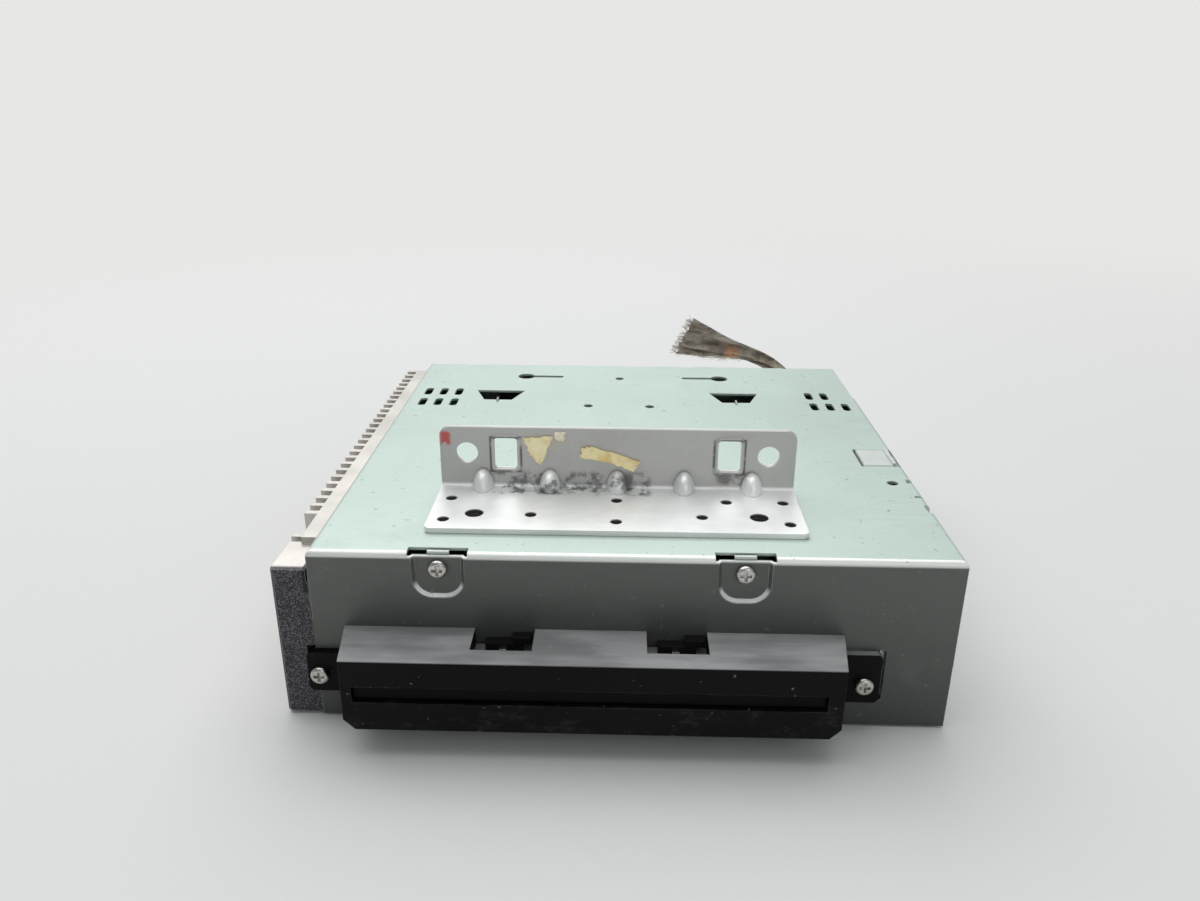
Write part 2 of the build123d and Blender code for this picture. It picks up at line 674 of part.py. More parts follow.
# ------------------------------------------------------------------ bracket and screws
def clinch_places():
    """Centres of the pressed joints that hold the bracket on the cover."""
    front_row = BRACKET_FRONT_Y + CLINCH_FRONT_GAP
    places = []
    for column in (-1, 0, 1):
        for row in (0, 1):
            places.append((BRACKET_OFFSET + column * CLINCH_PITCH, front_row + row * CLINCH_ROW_PITCH))
    for side in (-1, 1):
        places.append((BRACKET_OFFSET + side * CLINCH_PITCH / 2, front_row + 3.8))
    places.append((BRACKET_OFFSET + 32.6, front_row + CLINCH_ROW_PITCH))
    return places


def bracket_bolt_y():
    return BRACKET_FRONT_Y + 10.2


def mount_bracket():
    """The bent bracket on top: a base clinched to the cover and a drilled upright flange."""
    low = CASE_HEIGHT
    half = BRACKET_WIDTH / 2
    rear = BRACKET_FRONT_Y + BRACKET_BASE_LENGTH
    high = low + BRACKET_HEIGHT
    outer = block(BRACKET_OFFSET - half, BRACKET_OFFSET + half, BRACKET_FRONT_Y, rear, low, high)
    outer = fillet(outer.edges().filter_by(Axis.X).sort_by(Axis.Y)[-2:].sort_by(Axis.Z)[0], BRACKET_BEND)
    inner = block(BRACKET_OFFSET - half - 1, BRACKET_OFFSET + half + 1, BRACKET_FRONT_Y - 1,
                  rear - BRACKET_THICKNESS, low + BRACKET_THICKNESS, high + 1)
    inner = fillet(inner.edges().filter_by(Axis.X).sort_by(Axis.Y)[-2:].sort_by(Axis.Z)[0],
                   BRACKET_BEND - BRACKET_THICKNESS)
    bracket = outer - inner
    flange_corners = bracket.edges().filter_by(Axis.Y).group_by(Axis.Z)[-1]
    bracket = fillet(flange_corners, BRACKET_CORNER)
    base_corners = bracket.edges().filter_by(Axis.Z).group_by(Axis.Y)[0]
    bracket = fillet(base_corners, BRACKET_CORNER * 0.7)
    flange_front = rear - BRACKET_THICKNESS
    for side in (-1, 1):
        x = BRACKET_OFFSET + side * FLANGE_HOLE_PITCH / 2
        bracket -= rod(x, flange_front - 1, low + FLANGE_HOLE_RISE, FLANGE_HOLE_RADIUS, 4, "y")
        x = BRACKET_OFFSET + side * FLANGE_WINDOW_PITCH / 2
        bracket += flange_rim(x, flange_front, low + FLANGE_HOLE_RISE)
        bracket -= flange_window(x, flange_front - 3, low + FLANGE_HOLE_RISE, 0, 6)
        x = BRACKET_OFFSET + side * BRACKET_BOLT_HALF_PITCH
        bracket -= rod(x, bracket_bolt_y(), low - 1, BRACKET_BOLT_RADIUS, BRACKET_THICKNESS + 2)
    for x, y in clinch_places():
        bracket += rod(x, y, low - CLINCH_DEPTH, CLINCH_RADIUS + CLINCH_WALL, CLINCH_DEPTH + 0.1)
        bracket -= rod(x, y, low - CLINCH_DEPTH + CLINCH_WALL, CLINCH_RADIUS, 5)
    for number in range(GUSSET_COUNT):
        x = BRACKET_OFFSET + (number - (GUSSET_COUNT - 1) / 2) * GUSSET_PITCH
        bracket += gusset(x, flange_front, low + BRACKET_THICKNESS, GUSSET_WIDTH, GUSSET_SIZE)
        bracket -= gusset(x, rear, low, GUSSET_WIDTH - 1.6, GUSSET_SIZE - 0.9)
    return bracket


def flange_window(x, y, z, growth, depth):
    """A rounded rectangular prism through the flange."""
    outline = RectangleRounded(FLANGE_WINDOW_WIDTH + 2 * growth, FLANGE_WINDOW_HEIGHT + 2 * growth,
                               1.0 + growth)
    plane = Plane(origin=(x, y, z), x_dir=(1, 0, 0), z_dir=(0, -1, 0))
    return plane * extrude(outline, -depth)


def flange_rim(x, y, z):
    """The raised rim around a window of the flange."""
    return flange_window(x, y - 0.5, z, FLANGE_RIM, 0.6)


def gusset(x, y, z, width, size):
    """A triangular stiffener pressed into the bend, its sharp edge towards the corner."""
    side = Plane(origin=(x - width / 2, y, z), x_dir=(0, 1, 0), z_dir=(1, 0, 0))
    outline = Polyline((0.05, -0.05), (-size, -0.05), (-size + 0.5, 0.4), (-0.4, size - 0.5),
                       (0.05, size), close=True)
    return side * extrude(make_face(outline), width)


def cover_screws():
    pocket_floor = POCKET_DEPTH
    return group([pan_head_screw(x, pocket_floor, cover_screw_z, SCREW_LENGTH, "y", 1)
                  for x in front_screw_xs()])


def mouth_screws():
    seat = -EAR_PROUD
    screws = []
    for x in (left_ear_x, right_ear_x):
        screws.append(pan_head_screw(x, seat, EAR_SCREW_Z, EAR_SCREW_LENGTH, "y", 1))
    return group(screws)


def heat_sink_screws():
    screws = []
    for y in sink_screw_ys():
        for z in sink_screw_zs():
            screws.append(pan_head_screw(inner_left, y, z, SINK_SCREW_LENGTH, "x", -1))
    return group(screws)


def board_screws():
    screws = []
    for y in board_screw_ys():
        for wall, inward in ((inner_left, 1), (inner_right, -1)):
            top = board_z + BOARD_THICKNESS
            screws.append(pan_head_screw(wall + inward * 3.6, y, top, 4.0, "z", -1))
    return group(screws)


# ------------------------------------------------------------------ heat sink
def heat_sink():
    """The finned cooling block on the left wall."""
    inner = pan_left - FIT
    root = inner - SINK_STEP - SINK_THICKNESS
    tip = root - SINK_FIN_DEPTH
    last = SINK_FIRST_FIN_Y + SINK_FIN_PITCH * (SINK_FIN_COUNT - 1) + SINK_FIN_THICKNESS
    block_back = SINK_BLOCK_LENGTH
    sink = block(root, inner, block_back - 1, last, SINK_BOTTOM_Z, sink_top_z)
    end_block = block(tip, inner, 0.4, block_back, SINK_BOTTOM_Z, sink_top_z - SINK_BLOCK_DROP)
    end_block = chamfer(end_block.edges().filter_by(Axis.Z).sort_by(Axis.X)[:2], 0.8)
    sink += end_block
    for number in range(SINK_FIN_COUNT):
        y = SINK_FIRST_FIN_Y + SINK_FIN_PITCH * number
        sink += block(tip, root + 0.1, y, y + SINK_FIN_THICKNESS, SINK_BOTTOM_Z, sink_top_z)
    sink += block(tip, root + 0.1, SINK_BAR_Y, SINK_BAR_Y + SINK_FIN_THICKNESS, SINK_BOTTOM_Z,
                  sink_top_z - 1.5)
    sink -= block(inner - SINK_STEP, inner + 1, -1, last + 1, sink_step_z, sink_top_z + 1)
    sink -= block(left - AIR, inner + 1, -1, SHEET + AIR, 0, sink_top_z)
    relief = min(left_ear_x - EAR_LEFT_MARGIN, left) - 0.4
    sink -= block(relief, inner + 1, -1, 5.0, EAR_LEFT_BOTTOM_Z - 1, EAR_LEFT_TOP_Z + 1)
    for y in sink_screw_ys():
        for z in sink_screw_zs():
            sink -= rod(inner - 5, y, z, SCREW_RADIUS + FIT, 7, "x")
    return sink


# ------------------------------------------------------------------ mouth
def mouth_housing():
    """The moulded mouth that guides a disc into the slot, with ears, notches and a ribbed underside."""
    half_back = MOUTH_HALF_WIDTH
    half_front = MOUTH_HALF_WIDTH - MOUTH_DRAFT
    back_y = -0.02
    outline = Polyline((mouth_x - half_back, back_y), (mouth_x - half_front, -MOUTH_REACH),
                       (mouth_x + half_front, -MOUTH_REACH), (mouth_x + half_back, back_y), close=True)
    body = Pos(0, 0, MOUTH_BOTTOM_Z) * extrude(make_face(outline), MOUTH_TOP_Z - MOUTH_BOTTOM_Z)
    bottom_sides = body.edges().group_by(Axis.Z)[0].sort_by(Axis.X)
    body = chamfer([bottom_sides[0], bottom_sides[-1]], MOUTH_CORNER)
    top_front = body.edges().filter_by(Axis.X).group_by(Axis.Z)[-1].sort_by(Axis.Y)[0]
    body = fillet(top_front, 0.8)
    slot = block(disc_x - SLOT_HALF_WIDTH, disc_x + SLOT_HALF_WIDTH, -MOUTH_REACH - 1, 1, SLOT_BOTTOM_Z,
                 SLOT_TOP_Z)
    body -= slot
    body -= flap_pocket()
    body -= housing_cores()
    for side in (-1, 1):
        notch_x = disc_x + side * NOTCH_HALF_PITCH
        half = NOTCH_WIDTH / 2
        body -= block(notch_x - half, notch_x + half, -NOTCH_LENGTH, 1, MOUTH_TOP_Z - NOTCH_DEPTH,
                      MOUTH_TOP_Z + 1)
    body += ear(1, EAR_RIGHT_BOTTOM_Z, EAR_RIGHT_TOP_Z) + ear(-1, EAR_LEFT_BOTTOM_Z, EAR_LEFT_TOP_Z)
    for x in (left_ear_x, right_ear_x):
        body -= rod(x, -EAR_PROUD - 1, EAR_SCREW_Z, SCREW_RADIUS + FIT, EAR_PROUD + pan_front + 2, "y")
    return body


def flap_axis_y():
    return -MOUTH_REACH + FRONT_LIP + AIR + FLAP_THICKNESS / 2


def flap_pocket():
    """The space behind the front lip in which the dust flap swings, with its two pin holes."""
    reach = FLAP_AXIS_Z - SLOT_BOTTOM_Z + 1.0
    front_y = -MOUTH_REACH + FRONT_LIP
    half = SLOT_HALF_WIDTH
    pocket = block(disc_x - half, disc_x + half, front_y, flap_axis_y() + reach, SLOT_BOTTOM_Z,
                   FLAP_AXIS_Z + 1.2)
    for side in (-1, 1):
        start = disc_x + side * half
        inward = start + side * (FLAP_PIN_LENGTH + 0.5)
        low = min(start, inward) - 0.01
        pocket += rod(low, flap_axis_y(), FLAP_AXIS_Z, FLAP_PIN_RADIUS + RUNNING,
                      abs(inward - start) + 0.02, "x")
    return pocket


def housing_cores():
    """The hollows that leave even walls: three above the slot, open at the back, and six below it."""
    cuts = []
    roof = FLAP_AXIS_Z + 1.2 + 1.2
    ceiling = MOUTH_TOP_Z - MOUTH_WALL
    half = MOUTH_HALF_WIDTH - MOUTH_DRAFT - MOUTH_WALL
    wall_half = NOTCH_WIDTH / 2 + MOUTH_WALL * 0.8
    notches = [disc_x - NOTCH_HALF_PITCH, disc_x + NOTCH_HALF_PITCH]
    spans = [(mouth_x - half, notches[0] - wall_half), (notches[0] + wall_half, notches[1] - wall_half),
             (notches[1] + wall_half, mouth_x + half)]
    for start, end in spans:
        cuts.append(block(start, end, -MOUTH_REACH + MOUTH_WALL, 1, roof, ceiling))
    floor = SLOT_BOTTOM_Z - MOUTH_WALL
    ribs = 6
    pitch = (2 * half - 2 * MOUTH_CORNER) / ribs
    for number in range(ribs):
        start = mouth_x - half + MOUTH_CORNER + pitch * number + MOUTH_WALL / 2
        end = start + pitch - MOUTH_WALL
        cuts.append(block(start, end, -MOUTH_REACH + MOUTH_WALL, -MOUTH_WALL, MOUTH_BOTTOM_Z - 1, floor))
    return Compound([solid for cut in cuts for solid in cut.solids()])


def ear(side, low, high):
    """A screw ear that passes through the cover's window and bears on the pan."""
    inner = mouth_x + side * (MOUTH_HALF_WIDTH - 0.4)
    outer = right_ear_x + EAR_RIGHT_MARGIN if side > 0 else left_ear_x - EAR_LEFT_MARGIN
    piece = block(min(inner, outer), max(inner, outer), -EAR_PROUD, pan_front, low, high)
    outer_edges = piece.edges().filter_by(Axis.Y).sort_by(Axis.X)
    outer_edges = outer_edges[-2:] if side > 0 else outer_edges[:2]
    return fillet(outer_edges, 1.6)


def dust_flap():
    """The hinged flap that closes the slot and folds up into the roof when a disc passes."""
    half = SLOT_HALF_WIDTH - AIR
    y = flap_axis_y()
    low = SLOT_BOTTOM_Z + AIR
    high = FLAP_AXIS_Z + FLAP_THICKNESS / 2
    leaf = block(disc_x - half, disc_x + half, y - FLAP_THICKNESS / 2, y + FLAP_THICKNESS / 2, low, high)
    leaf = fillet(leaf.edges().filter_by(Axis.X).group_by(Axis.Z)[0], 0.4)
    pins = rod(disc_x - half - FLAP_PIN_LENGTH, y, FLAP_AXIS_Z, FLAP_PIN_RADIUS,
               2 * (half + FLAP_PIN_LENGTH), "x")
    return leaf + pins


# ------------------------------------------------------------------ mechanism frame
def mech_frame():
    """The floating sheet frame that carries the roller, trays, cam plate and deck."""
    floor = block(frame_left, frame_right, frame_front, frame_back, FRAME_FLOOR_Z, frame_floor_top)
    floor -= rod(disc_x, DISC_Y, FRAME_FLOOR_Z - 1, FRAME_WINDOW_RADIUS, SHEET + 2)
    frame = floor
    side_top = FRAME_SIDE_TOP_Z
    frame += block(frame_left, frame_left + SHEET, frame_front, frame_back, FRAME_FLOOR_Z, side_top)
    frame += block(frame_right - SHEET, frame_right, frame_front, frame_back, FRAME_FLOOR_Z, side_top - 8)
    frame += block(frame_left, frame_right, frame_back - SHEET, frame_back, FRAME_FLOOR_Z, side_top)
    frame += block(frame_left, frame_right, frame_front, frame_front + SHEET, FRAME_FLOOR_Z, 8.4)
    frame += feed_plate() + bush_plate() + lift_plate() + swing_shelf()
    for side in (-1, 1):
        x = WINDOW_OFFSET + side * WINDOW_HALF_PITCH
        half = SPRING_ARM_WIDTH / 2
        arm = block(x - half, x + half, window_front_y - 3.0, frame_back, SPRING_ARM_Z, side_top)
        frame += arm
        frame -= rod(x, spring_y(), SPRING_ARM_Z - 1, SPRING_WIRE + AIR, SHEET + 3)
    for z in (CAM_STUD_LOW_Z, CAM_STUD_HIGH_Z):
        frame -= rod(frame_left - 1, DISC_Y, z, CAM_STUD_RADIUS + FIT, SHEET + 2, "x")
    return frame


def idler_place():
    distance = MODULE * (ROLLER_TEETH + IDLER_TEETH) / 2
    return ROLLER_Y + math.sqrt(distance ** 2 - IDLER_RISE ** 2), roller_z + IDLER_RISE


def feed_motor_place():
    y, z = idler_place()
    distance = MODULE * (IDLER_TEETH + FEED_PINION_TEETH) / 2
    angle = math.radians(FEED_MOTOR_ANGLE)
    return y + distance * math.cos(angle), z + distance * math.sin(angle)


def feed_plate():
    """The upright that carries the roller's left bush, the idler axle and the feed motor."""
    motor_y, motor_z = feed_motor_place()
    idler_y, idler_z = idler_place()
    plate = block(feed_plate_x, feed_plate_x + SHEET, frame_front, motor_y + 7, FRAME_FLOOR_Z, PLATE_TOP_Z)
    plate -= rod(feed_plate_x - 1, ROLLER_Y, roller_z, BUSH_RADIUS + FIT, SHEET + 2, "x")
    plate -= rod(feed_plate_x - 1, motor_y, motor_z, MOTOR_BOSS_RADIUS + FIT, SHEET + 2, "x")
    plate -= rod(feed_plate_x - 1, idler_y, idler_z, 1.25 + FIT, SHEET + 2, "x")
    return plate


def bush_plate():
    """The upright that carries the roller's right bush."""
    plate = block(bush_plate_x, bush_plate_x + SHEET, frame_front, ROLLER_Y + 5.8, FRAME_FLOOR_Z, 26.0)
    return plate - rod(bush_plate_x - 1, ROLLER_Y, roller_z, BUSH_RADIUS + FIT, SHEET + 2, "x")


def lift_motor_z():
    return RACK_PITCH_Z + MODULE * LIFT_TEETH / 2


def lift_plate_x():
    return cam_left - 0.5 + LIFT_GEAR_WIDTH + MOTOR_BOSS_HEIGHT


def lift_plate():
    """The upright that carries the motor of the cam plate."""
    plate = block(lift_plate_x(), lift_plate_x() + SHEET, LIFT_GEAR_Y - 8, LIFT_GEAR_Y + 8,
                  FRAME_FLOOR_Z, 31.0)
    return plate - rod(lift_plate_x() - 1, LIFT_GEAR_Y, lift_motor_z(), MOTOR_BOSS_RADIUS + FIT,
                       SHEET + 2, "x")


def swing_pinion_y():
    return DECK_PIVOT_Y - MODULE * (DECK_GEAR_TEETH + SWING_PINION_TEETH) / 2


def swing_shelf_z():
    return DECK_GEAR_Z + DECK_GEAR_WIDTH + MOTOR_BOSS_HEIGHT + 1.0


def swing_shelf():
    """A raised front flange and shelf that hold the swing motor above its pinion."""
    top = swing_shelf_z() + SHEET
    shelf = block(pivot_x - 9, pivot_x + 9, frame_front, swing_pinion_y() + 5.2, swing_shelf_z(), top)
    shelf += block(pivot_x - 9, pivot_x + 9, frame_front, frame_front + SHEET, FRAME_FLOOR_Z, top)
    return shelf - rod(pivot_x, swing_pinion_y(), swing_shelf_z() - 1, MOTOR_BOSS_RADIUS + FIT, SHEET + 2)


def frame_dampers():
    """Four oil-filled rubber feet between the pan and the frame."""
    height = FRAME_FLOOR_Z - SHEET
    feet = []
    for x in (frame_left + DAMPER_INSET, frame_right - DAMPER_INSET):
        for y in (frame_front + DAMPER_INSET + 14.0, frame_back - DAMPER_INSET):
            profile = Polyline((0, 0), (DAMPER_RADIUS, 0), (DAMPER_RADIUS, height * 0.3),
                               (DAMPER_RADIUS * 0.7, height * 0.5), (DAMPER_RADIUS * 0.9, height * 0.75),
                               (DAMPER_RADIUS * 0.9, height), (0, height), close=True)
            foot = revolve(Plane.XZ * make_face(profile), Axis.Z)
            feet.append(Pos(x, y, SHEET) * foot)
    return group(feet)


def spring_y():
    return window_front_y + 1.3


def suspension_springs():
    """Two extension springs that hang the frame from the edge of the cover's windows."""
    springs = []
    coil_low = SPRING_ARM_Z + 5.2
    coil_high = board_z + BOARD_THICKNESS + 3.0
    pitch = (coil_high - coil_low) / SPRING_TURNS
    points = [(0.0, coil_low)]
    for turn in range(SPRING_TURNS):
        points.append((SPRING_RADIUS - 0.5, coil_low + pitch * turn + 0.05))
        points.append((SPRING_RADIUS, coil_low + pitch * (turn + 0.5)))
    points.append((SPRING_RADIUS - 0.5, coil_high))
    points.append((0.0, coil_high))
    coil = revolve(Plane.XZ * make_face(Polyline(*points, close=True)), Axis.Z)
    hook_top = CASE_HEIGHT + SPRING_WIRE + 0.05
    for side in (-1, 1):
        x = WINDOW_OFFSET + side * WINDOW_HALF_PITCH
        y = spring_y()
        upper = bent_wire([(x, y, coil_high - 0.5), (x, y, hook_top), (x, y - 3.4, hook_top)], 0.9)
        foot = SPRING_ARM_Z - SPRING_WIRE - 0.05
        lower = bent_wire([(x, y, coil_low + 0.5), (x, y, foot), (x, y + 2.6, foot)], 0.5)
        springs.append(Pos(x, y, 0) * coil + upper + lower)
    return group(springs)


def bent_wire(points, radius):
    """A round wire with one rounded corner."""
    path = FilletPolyline(*points, radius=radius)
    start = Plane(origin=path @ 0, z_dir=path % 0)
    return sweep(start * Circle(SPRING_WIRE), path)


# ------------------------------------------------------------------ trays and their cam plate
def peg_ys():
    return [DISC_Y - TRAY_EAR_HALF_PITCH, DISC_Y + TRAY_EAR_HALF_PITCH]


def guide_post_y():
    return DISC_Y + TRAY_OUTER_RADIUS + GUIDE_POST_GAP


def tray(z):
    """One C-shaped disc tray with two pegged ears at its side and a guide eye at its back."""
    centre = (disc_x, DISC_Y)
    far = 2 * TRAY_OUTER_RADIUS
    angles = [TRAY_START_ANGLE + (TRAY_END_ANGLE - TRAY_START_ANGLE) * step / 4 for step in range(5)]
    fan = [centre] + [(disc_x + far * math.cos(math.radians(angle)),
                       DISC_Y + far * math.sin(math.radians(angle)))
                      for angle in angles]
    ring = Pos(*centre) * (Circle(TRAY_OUTER_RADIUS) - Circle(TRAY_INNER_RADIUS))
    plate = ring & make_face(Polyline(*fan, close=True))
    plate &= Pos(tray_left + far, DISC_Y) * Rectangle(2 * far, 2 * far)
    for y in peg_ys():
        depth = math.sqrt(TRAY_INNER_RADIUS ** 2 - (TRAY_EAR_HALF_PITCH + TRAY_EAR_WIDTH / 2) ** 2)
        ear_right = disc_x - depth - 4.0
        ear_shape = Pos((tray_left + ear_right) / 2, y) * Rectangle(ear_right - tray_left, TRAY_EAR_WIDTH)
        plate += ear_shape
    eye_back = guide_post_y() + GUIDE_POST_RADIUS + 3.0
    eye_front = DISC_Y + TRAY_INNER_RADIUS + 3.0
    plate += Pos(disc_x, (eye_back + eye_front) / 2) * Rectangle(TRAY_TAB_WIDTH, eye_back - eye_front)
    plate -= Pos(disc_x, guide_post_y()) * Circle(GUIDE_POST_RADIUS + RUNNING)
    solid = Pos(0, 0, z) * extrude(plate, TRAY_THICKNESS)
    step = Pos(disc_x, DISC_Y, z + TRAY_THICKNESS * 0.6)
    solid -= step * extrude(Circle(DISC_RADIUS + AIR), TRAY_THICKNESS)
    for y in peg_ys():
        solid += rod(tray_left - PEG_REACH, y, z + TRAY_THICKNESS / 2, PEG_RADIUS, PEG_REACH + 2, "x")
    return solid


def tray_guide_post():
    """The steel post on which the rear eyes of all trays slide."""
    height = SPRING_ARM_Z - 0.2 - frame_floor_top
    return rod(disc_x, guide_post_y(), frame_floor_top, GUIDE_POST_RADIUS, height)


def cam_plate():
    """The sliding plate whose fanned slots spread the trays, with its rack at the back."""
    peg_zs = [z + TRAY_THICKNESS / 2 for z in tray_zs]
    hole = PEG_RADIUS + AIR
    low = peg_zs[0] - TRAY_TRAVEL - hole - CAM_WEB * 0.6
    low = max(low, frame_floor_top + 0.2)
    high = peg_zs[-1] + TRAY_TRAVEL + hole + CAM_WEB
    start = peg_ys()[0] - CAM_TRAVEL - 4.0
    end = peg_ys()[1] + 4.0
    plate = Pos((start + end) / 2, (low + high) / 2) * RectangleRounded(end - start, high - low, 0.5)
    rack_top = RACK_PITCH_Z + ADDENDUM * MODULE
    rack_root = RACK_PITCH_Z - DEDENDUM * MODULE
    rack_end = LIFT_GEAR_Y + 6.0
    rack_stock = Rectangle(rack_end - end + 3, rack_root - low)
    plate += Pos((end - 3 + rack_end) / 2, (low + rack_root) / 2) * rack_stock
    plate += rack_teeth(rack_root, rack_top)
    for number, z in enumerate(peg_zs):
        rise = TRAY_TRAVEL if number >= TRAYS_IN_STACK else -TRAY_TRAVEL
        for y in peg_ys():
            plate -= capsule(y, z, y - CAM_TRAVEL, z + rise, hole)
    for z in (CAM_STUD_LOW_Z, CAM_STUD_HIGH_Z):
        plate -= capsule(DISC_Y, z, DISC_Y - CAM_TRAVEL, z, CAM_STUD_RADIUS + AIR)
    return plane_at(cam_left, 0, 0, "x") * extrude(plate, CAM_THICKNESS)


def rack_teeth(root, tip):
    """Straight-sided teeth along the top of the cam plate's tail."""
    slope = math.tan(math.radians(PRESSURE_ANGLE))
    half = (math.pi * MODULE / 2 - BACKLASH) / 2
    pitch = math.pi * MODULE
    behind = math.ceil((CAM_TRAVEL + 5.0) / pitch)
    teeth = []
    for number in range(-behind, 3):
        y = LIFT_GEAR_Y + pitch * number
        low_half = half + (RACK_PITCH_Z - root) * slope
        high_half = half - (tip - RACK_PITCH_Z) * slope
        outline = Polyline((y - low_half, root - 0.1), (y + low_half, root - 0.1), (y + high_half, tip),
                           (y - high_half, tip), close=True)
        teeth.append(make_face(outline))
    combined = teeth[0]
    for tooth in teeth[1:]:
        combined += tooth
    return combined


def cam_studs():
    """Two headed studs on the frame's left wall, on which the cam plate slides."""
    studs = []
    for z in (CAM_STUD_LOW_Z, CAM_STUD_HIGH_Z):
        head_x = cam_right + 0.3
        stud = rod(frame_left, DISC_Y, z, CAM_STUD_RADIUS, head_x - frame_left, "x")
        studs.append(stud + rod(head_x, DISC_Y, z, CAM_STUD_RADIUS + 1.2, 0.8, "x"))
    return group(studs)


def lift_gear():
    plane = Plane(origin=(lift_plate_x() - MOTOR_BOSS_HEIGHT, LIFT_GEAR_Y, lift_motor_z()),
                  x_dir=(0, -1, 0),
                  z_dir=(-1, 0, 0))
    return pinion(plane, LIFT_TEETH, LIFT_GEAR_WIDTH, 270.0 + 180.0 / LIFT_TEETH, SHEET)


def lift_motor():
    plane = Plane(origin=(lift_plate_x() + SHEET, LIFT_GEAR_Y, lift_motor_z()), x_dir=(0, -1, 0),
                  z_dir=(-1, 0, 0))
    return motor(plane, MOTOR_RADIUS, MOTOR_FLAT, MOTOR_LENGTH)


# ------------------------------------------------------------------ disc feed
def feed_gear_x():
    return feed_plate_x - MOTOR_BOSS_HEIGHT - FEED_GEAR_WIDTH


def roller_shaft():
    start = feed_gear_x() - 0.6
    end = bush_plate_x + SHEET + 1.6
    return rod(start, ROLLER_Y, roller_z, ROLLER_SHAFT_RADIUS, end - start, "x")


def feed_rollers():
    """Two tapered rubber sleeves that grip a disc only at its rim."""
    sleeves = []
    bore = ROLLER_SHAFT_RADIUS + 0.01
    for side in (-1, 1):
        near = ROLLER_GAP / 2
        far = DISC_RADIUS - 1.0
        profile = Polyline((near, bore), (far, bore), (far, ROLLER_RADIUS), (far - 8, ROLLER_RADIUS),
                           (near, ROLLER_WAIST_RADIUS), close=True)
        sleeve = revolve(make_face(profile), Axis.X)
        if side < 0:
            sleeve = mirror(sleeve, Plane.YZ)
        sleeves.append(Pos(disc_x, ROLLER_Y, roller_z) * sleeve)
    return group(sleeves)


def roller_gear():
    y, z = idler_place()
    towards_idler = math.degrees(math.atan2(z - roller_z, y - ROLLER_Y))
    gear = spur_gear(ROLLER_TEETH, FEED_GEAR_WIDTH, ROLLER_SHAFT_RADIUS + 0.01, towards_idler)
    return plane_at(feed_gear_x(), ROLLER_Y, roller_z, "x") * gear


def idler_tooth_angle():
    y, z = idler_place()
    towards_roller = math.degrees(math.atan2(roller_z - z, ROLLER_Y - y))
    return towards_roller + 180.0 / IDLER_TEETH


def idler_gear():
    y, z = idler_place()
    gear = spur_gear(IDLER_TEETH, FEED_GEAR_WIDTH, 1.25 + RUNNING, idler_tooth_angle())
    return plane_at(feed_gear_x(), y, z, "x") * gear


def idler_axle():
    y, z = idler_place()
    start = frame_left + SHEET
    axle = rod(start, y, z, 1.25, feed_plate_x + SHEET - start, "x")
    collar = rod(start, y, z, 2.2, feed_gear_x() - AIR - start, "x")
    return axle + collar


def feed_pinion():
    """The motor pinion, turned so that it meshes with the idler."""
    y, z = feed_motor_place()
    step = 360.0 / IDLER_TEETH
    lag = (FEED_MOTOR_ANGLE - idler_tooth_angle()) % step
    half_pitch = 180.0 / FEED_PINION_TEETH
    tooth_angle = FEED_MOTOR_ANGLE + 180.0 + lag * IDLER_TEETH / FEED_PINION_TEETH + half_pitch
    plane = Plane(origin=(feed_plate_x - MOTOR_BOSS_HEIGHT, y, z), x_dir=(0, -1, 0), z_dir=(-1, 0, 0))
    return pinion(plane, FEED_PINION_TEETH, FEED_GEAR_WIDTH, 180.0 - tooth_angle, SHEET)


def feed_motor():
    y, z = feed_motor_place()
    plane = Plane(origin=(feed_plate_x + SHEET, y, z), x_dir=(0, -1, 0), z_dir=(-1, 0, 0))
    return motor(plane, MOTOR_RADIUS, MOTOR_FLAT, MOTOR_LENGTH)


def roller_bushes():
    bore = ROLLER_SHAFT_RADIUS + RUNNING
    bushes = []
    for x in (feed_plate_x, bush_plate_x):
        bush = tube(x, ROLLER_Y, roller_z, BUSH_RADIUS, bore, SHEET, "x")
        towards = 1 if x < disc_x else -1
        lip_x = x + SHEET if towards > 0 else x - 0.8
        bushes.append(bush + tube(lip_x, ROLLER_Y, roller_z, BUSH_RADIUS + 0.8, bore, 0.8, "x"))
    return group(bushes)


def disc_guide():
    """The moulded upper guide that presses a disc down on the roller."""
    start = feed_plate_x + SHEET
    low = DISC_Z + DISC_THICKNESS + 1.4
    y0 = ROLLER_Y - GUIDE_LENGTH / 2
    y1 = ROLLER_Y + GUIDE_LENGTH / 2
    guide = block(start, bush_plate_x, y0, y1, low, low + GUIDE_THICKNESS)
    ribs = 8
    for number in range(ribs):
        x = start + (bush_plate_x - start) * (number + 0.5) / ribs
        guide += block(x - 0.6, x + 0.6, y0, y1, low + GUIDE_THICKNESS, low + GUIDE_THICKNESS + 1.4)
    for x in (disc_x - 52.0, disc_x + 52.0):
        runner = Plane.YZ.offset(x - 4.0) * Pos(ROLLER_Y, low + 0.4)
        guide += runner * extrude(Ellipse(GUIDE_LENGTH / 2 - 1, 1.2), 8.0)
    return guide


# ------------------------------------------------------------------ playback deck
def deck_block(u0, u1, v0, v1, z0, z1):
    """A box in the deck's own places: u across the arm, v along it from the pivot."""
    return block(pivot_x + u0, pivot_x + u1, DECK_PIVOT_Y + v0, DECK_PIVOT_Y + v1, z0, z1)


def deck_rod(u, v, z, radius, length, axis):
    return rod(pivot_x + u, DECK_PIVOT_Y + v, z, radius, length, axis)


def sled_motor_start():
    return DECK_FLANGE_RADIUS + 7.4


def sled_screw_end():
    return arm_length - SLED_INNER_RADIUS + SLED_LENGTH / 2 + 1.6


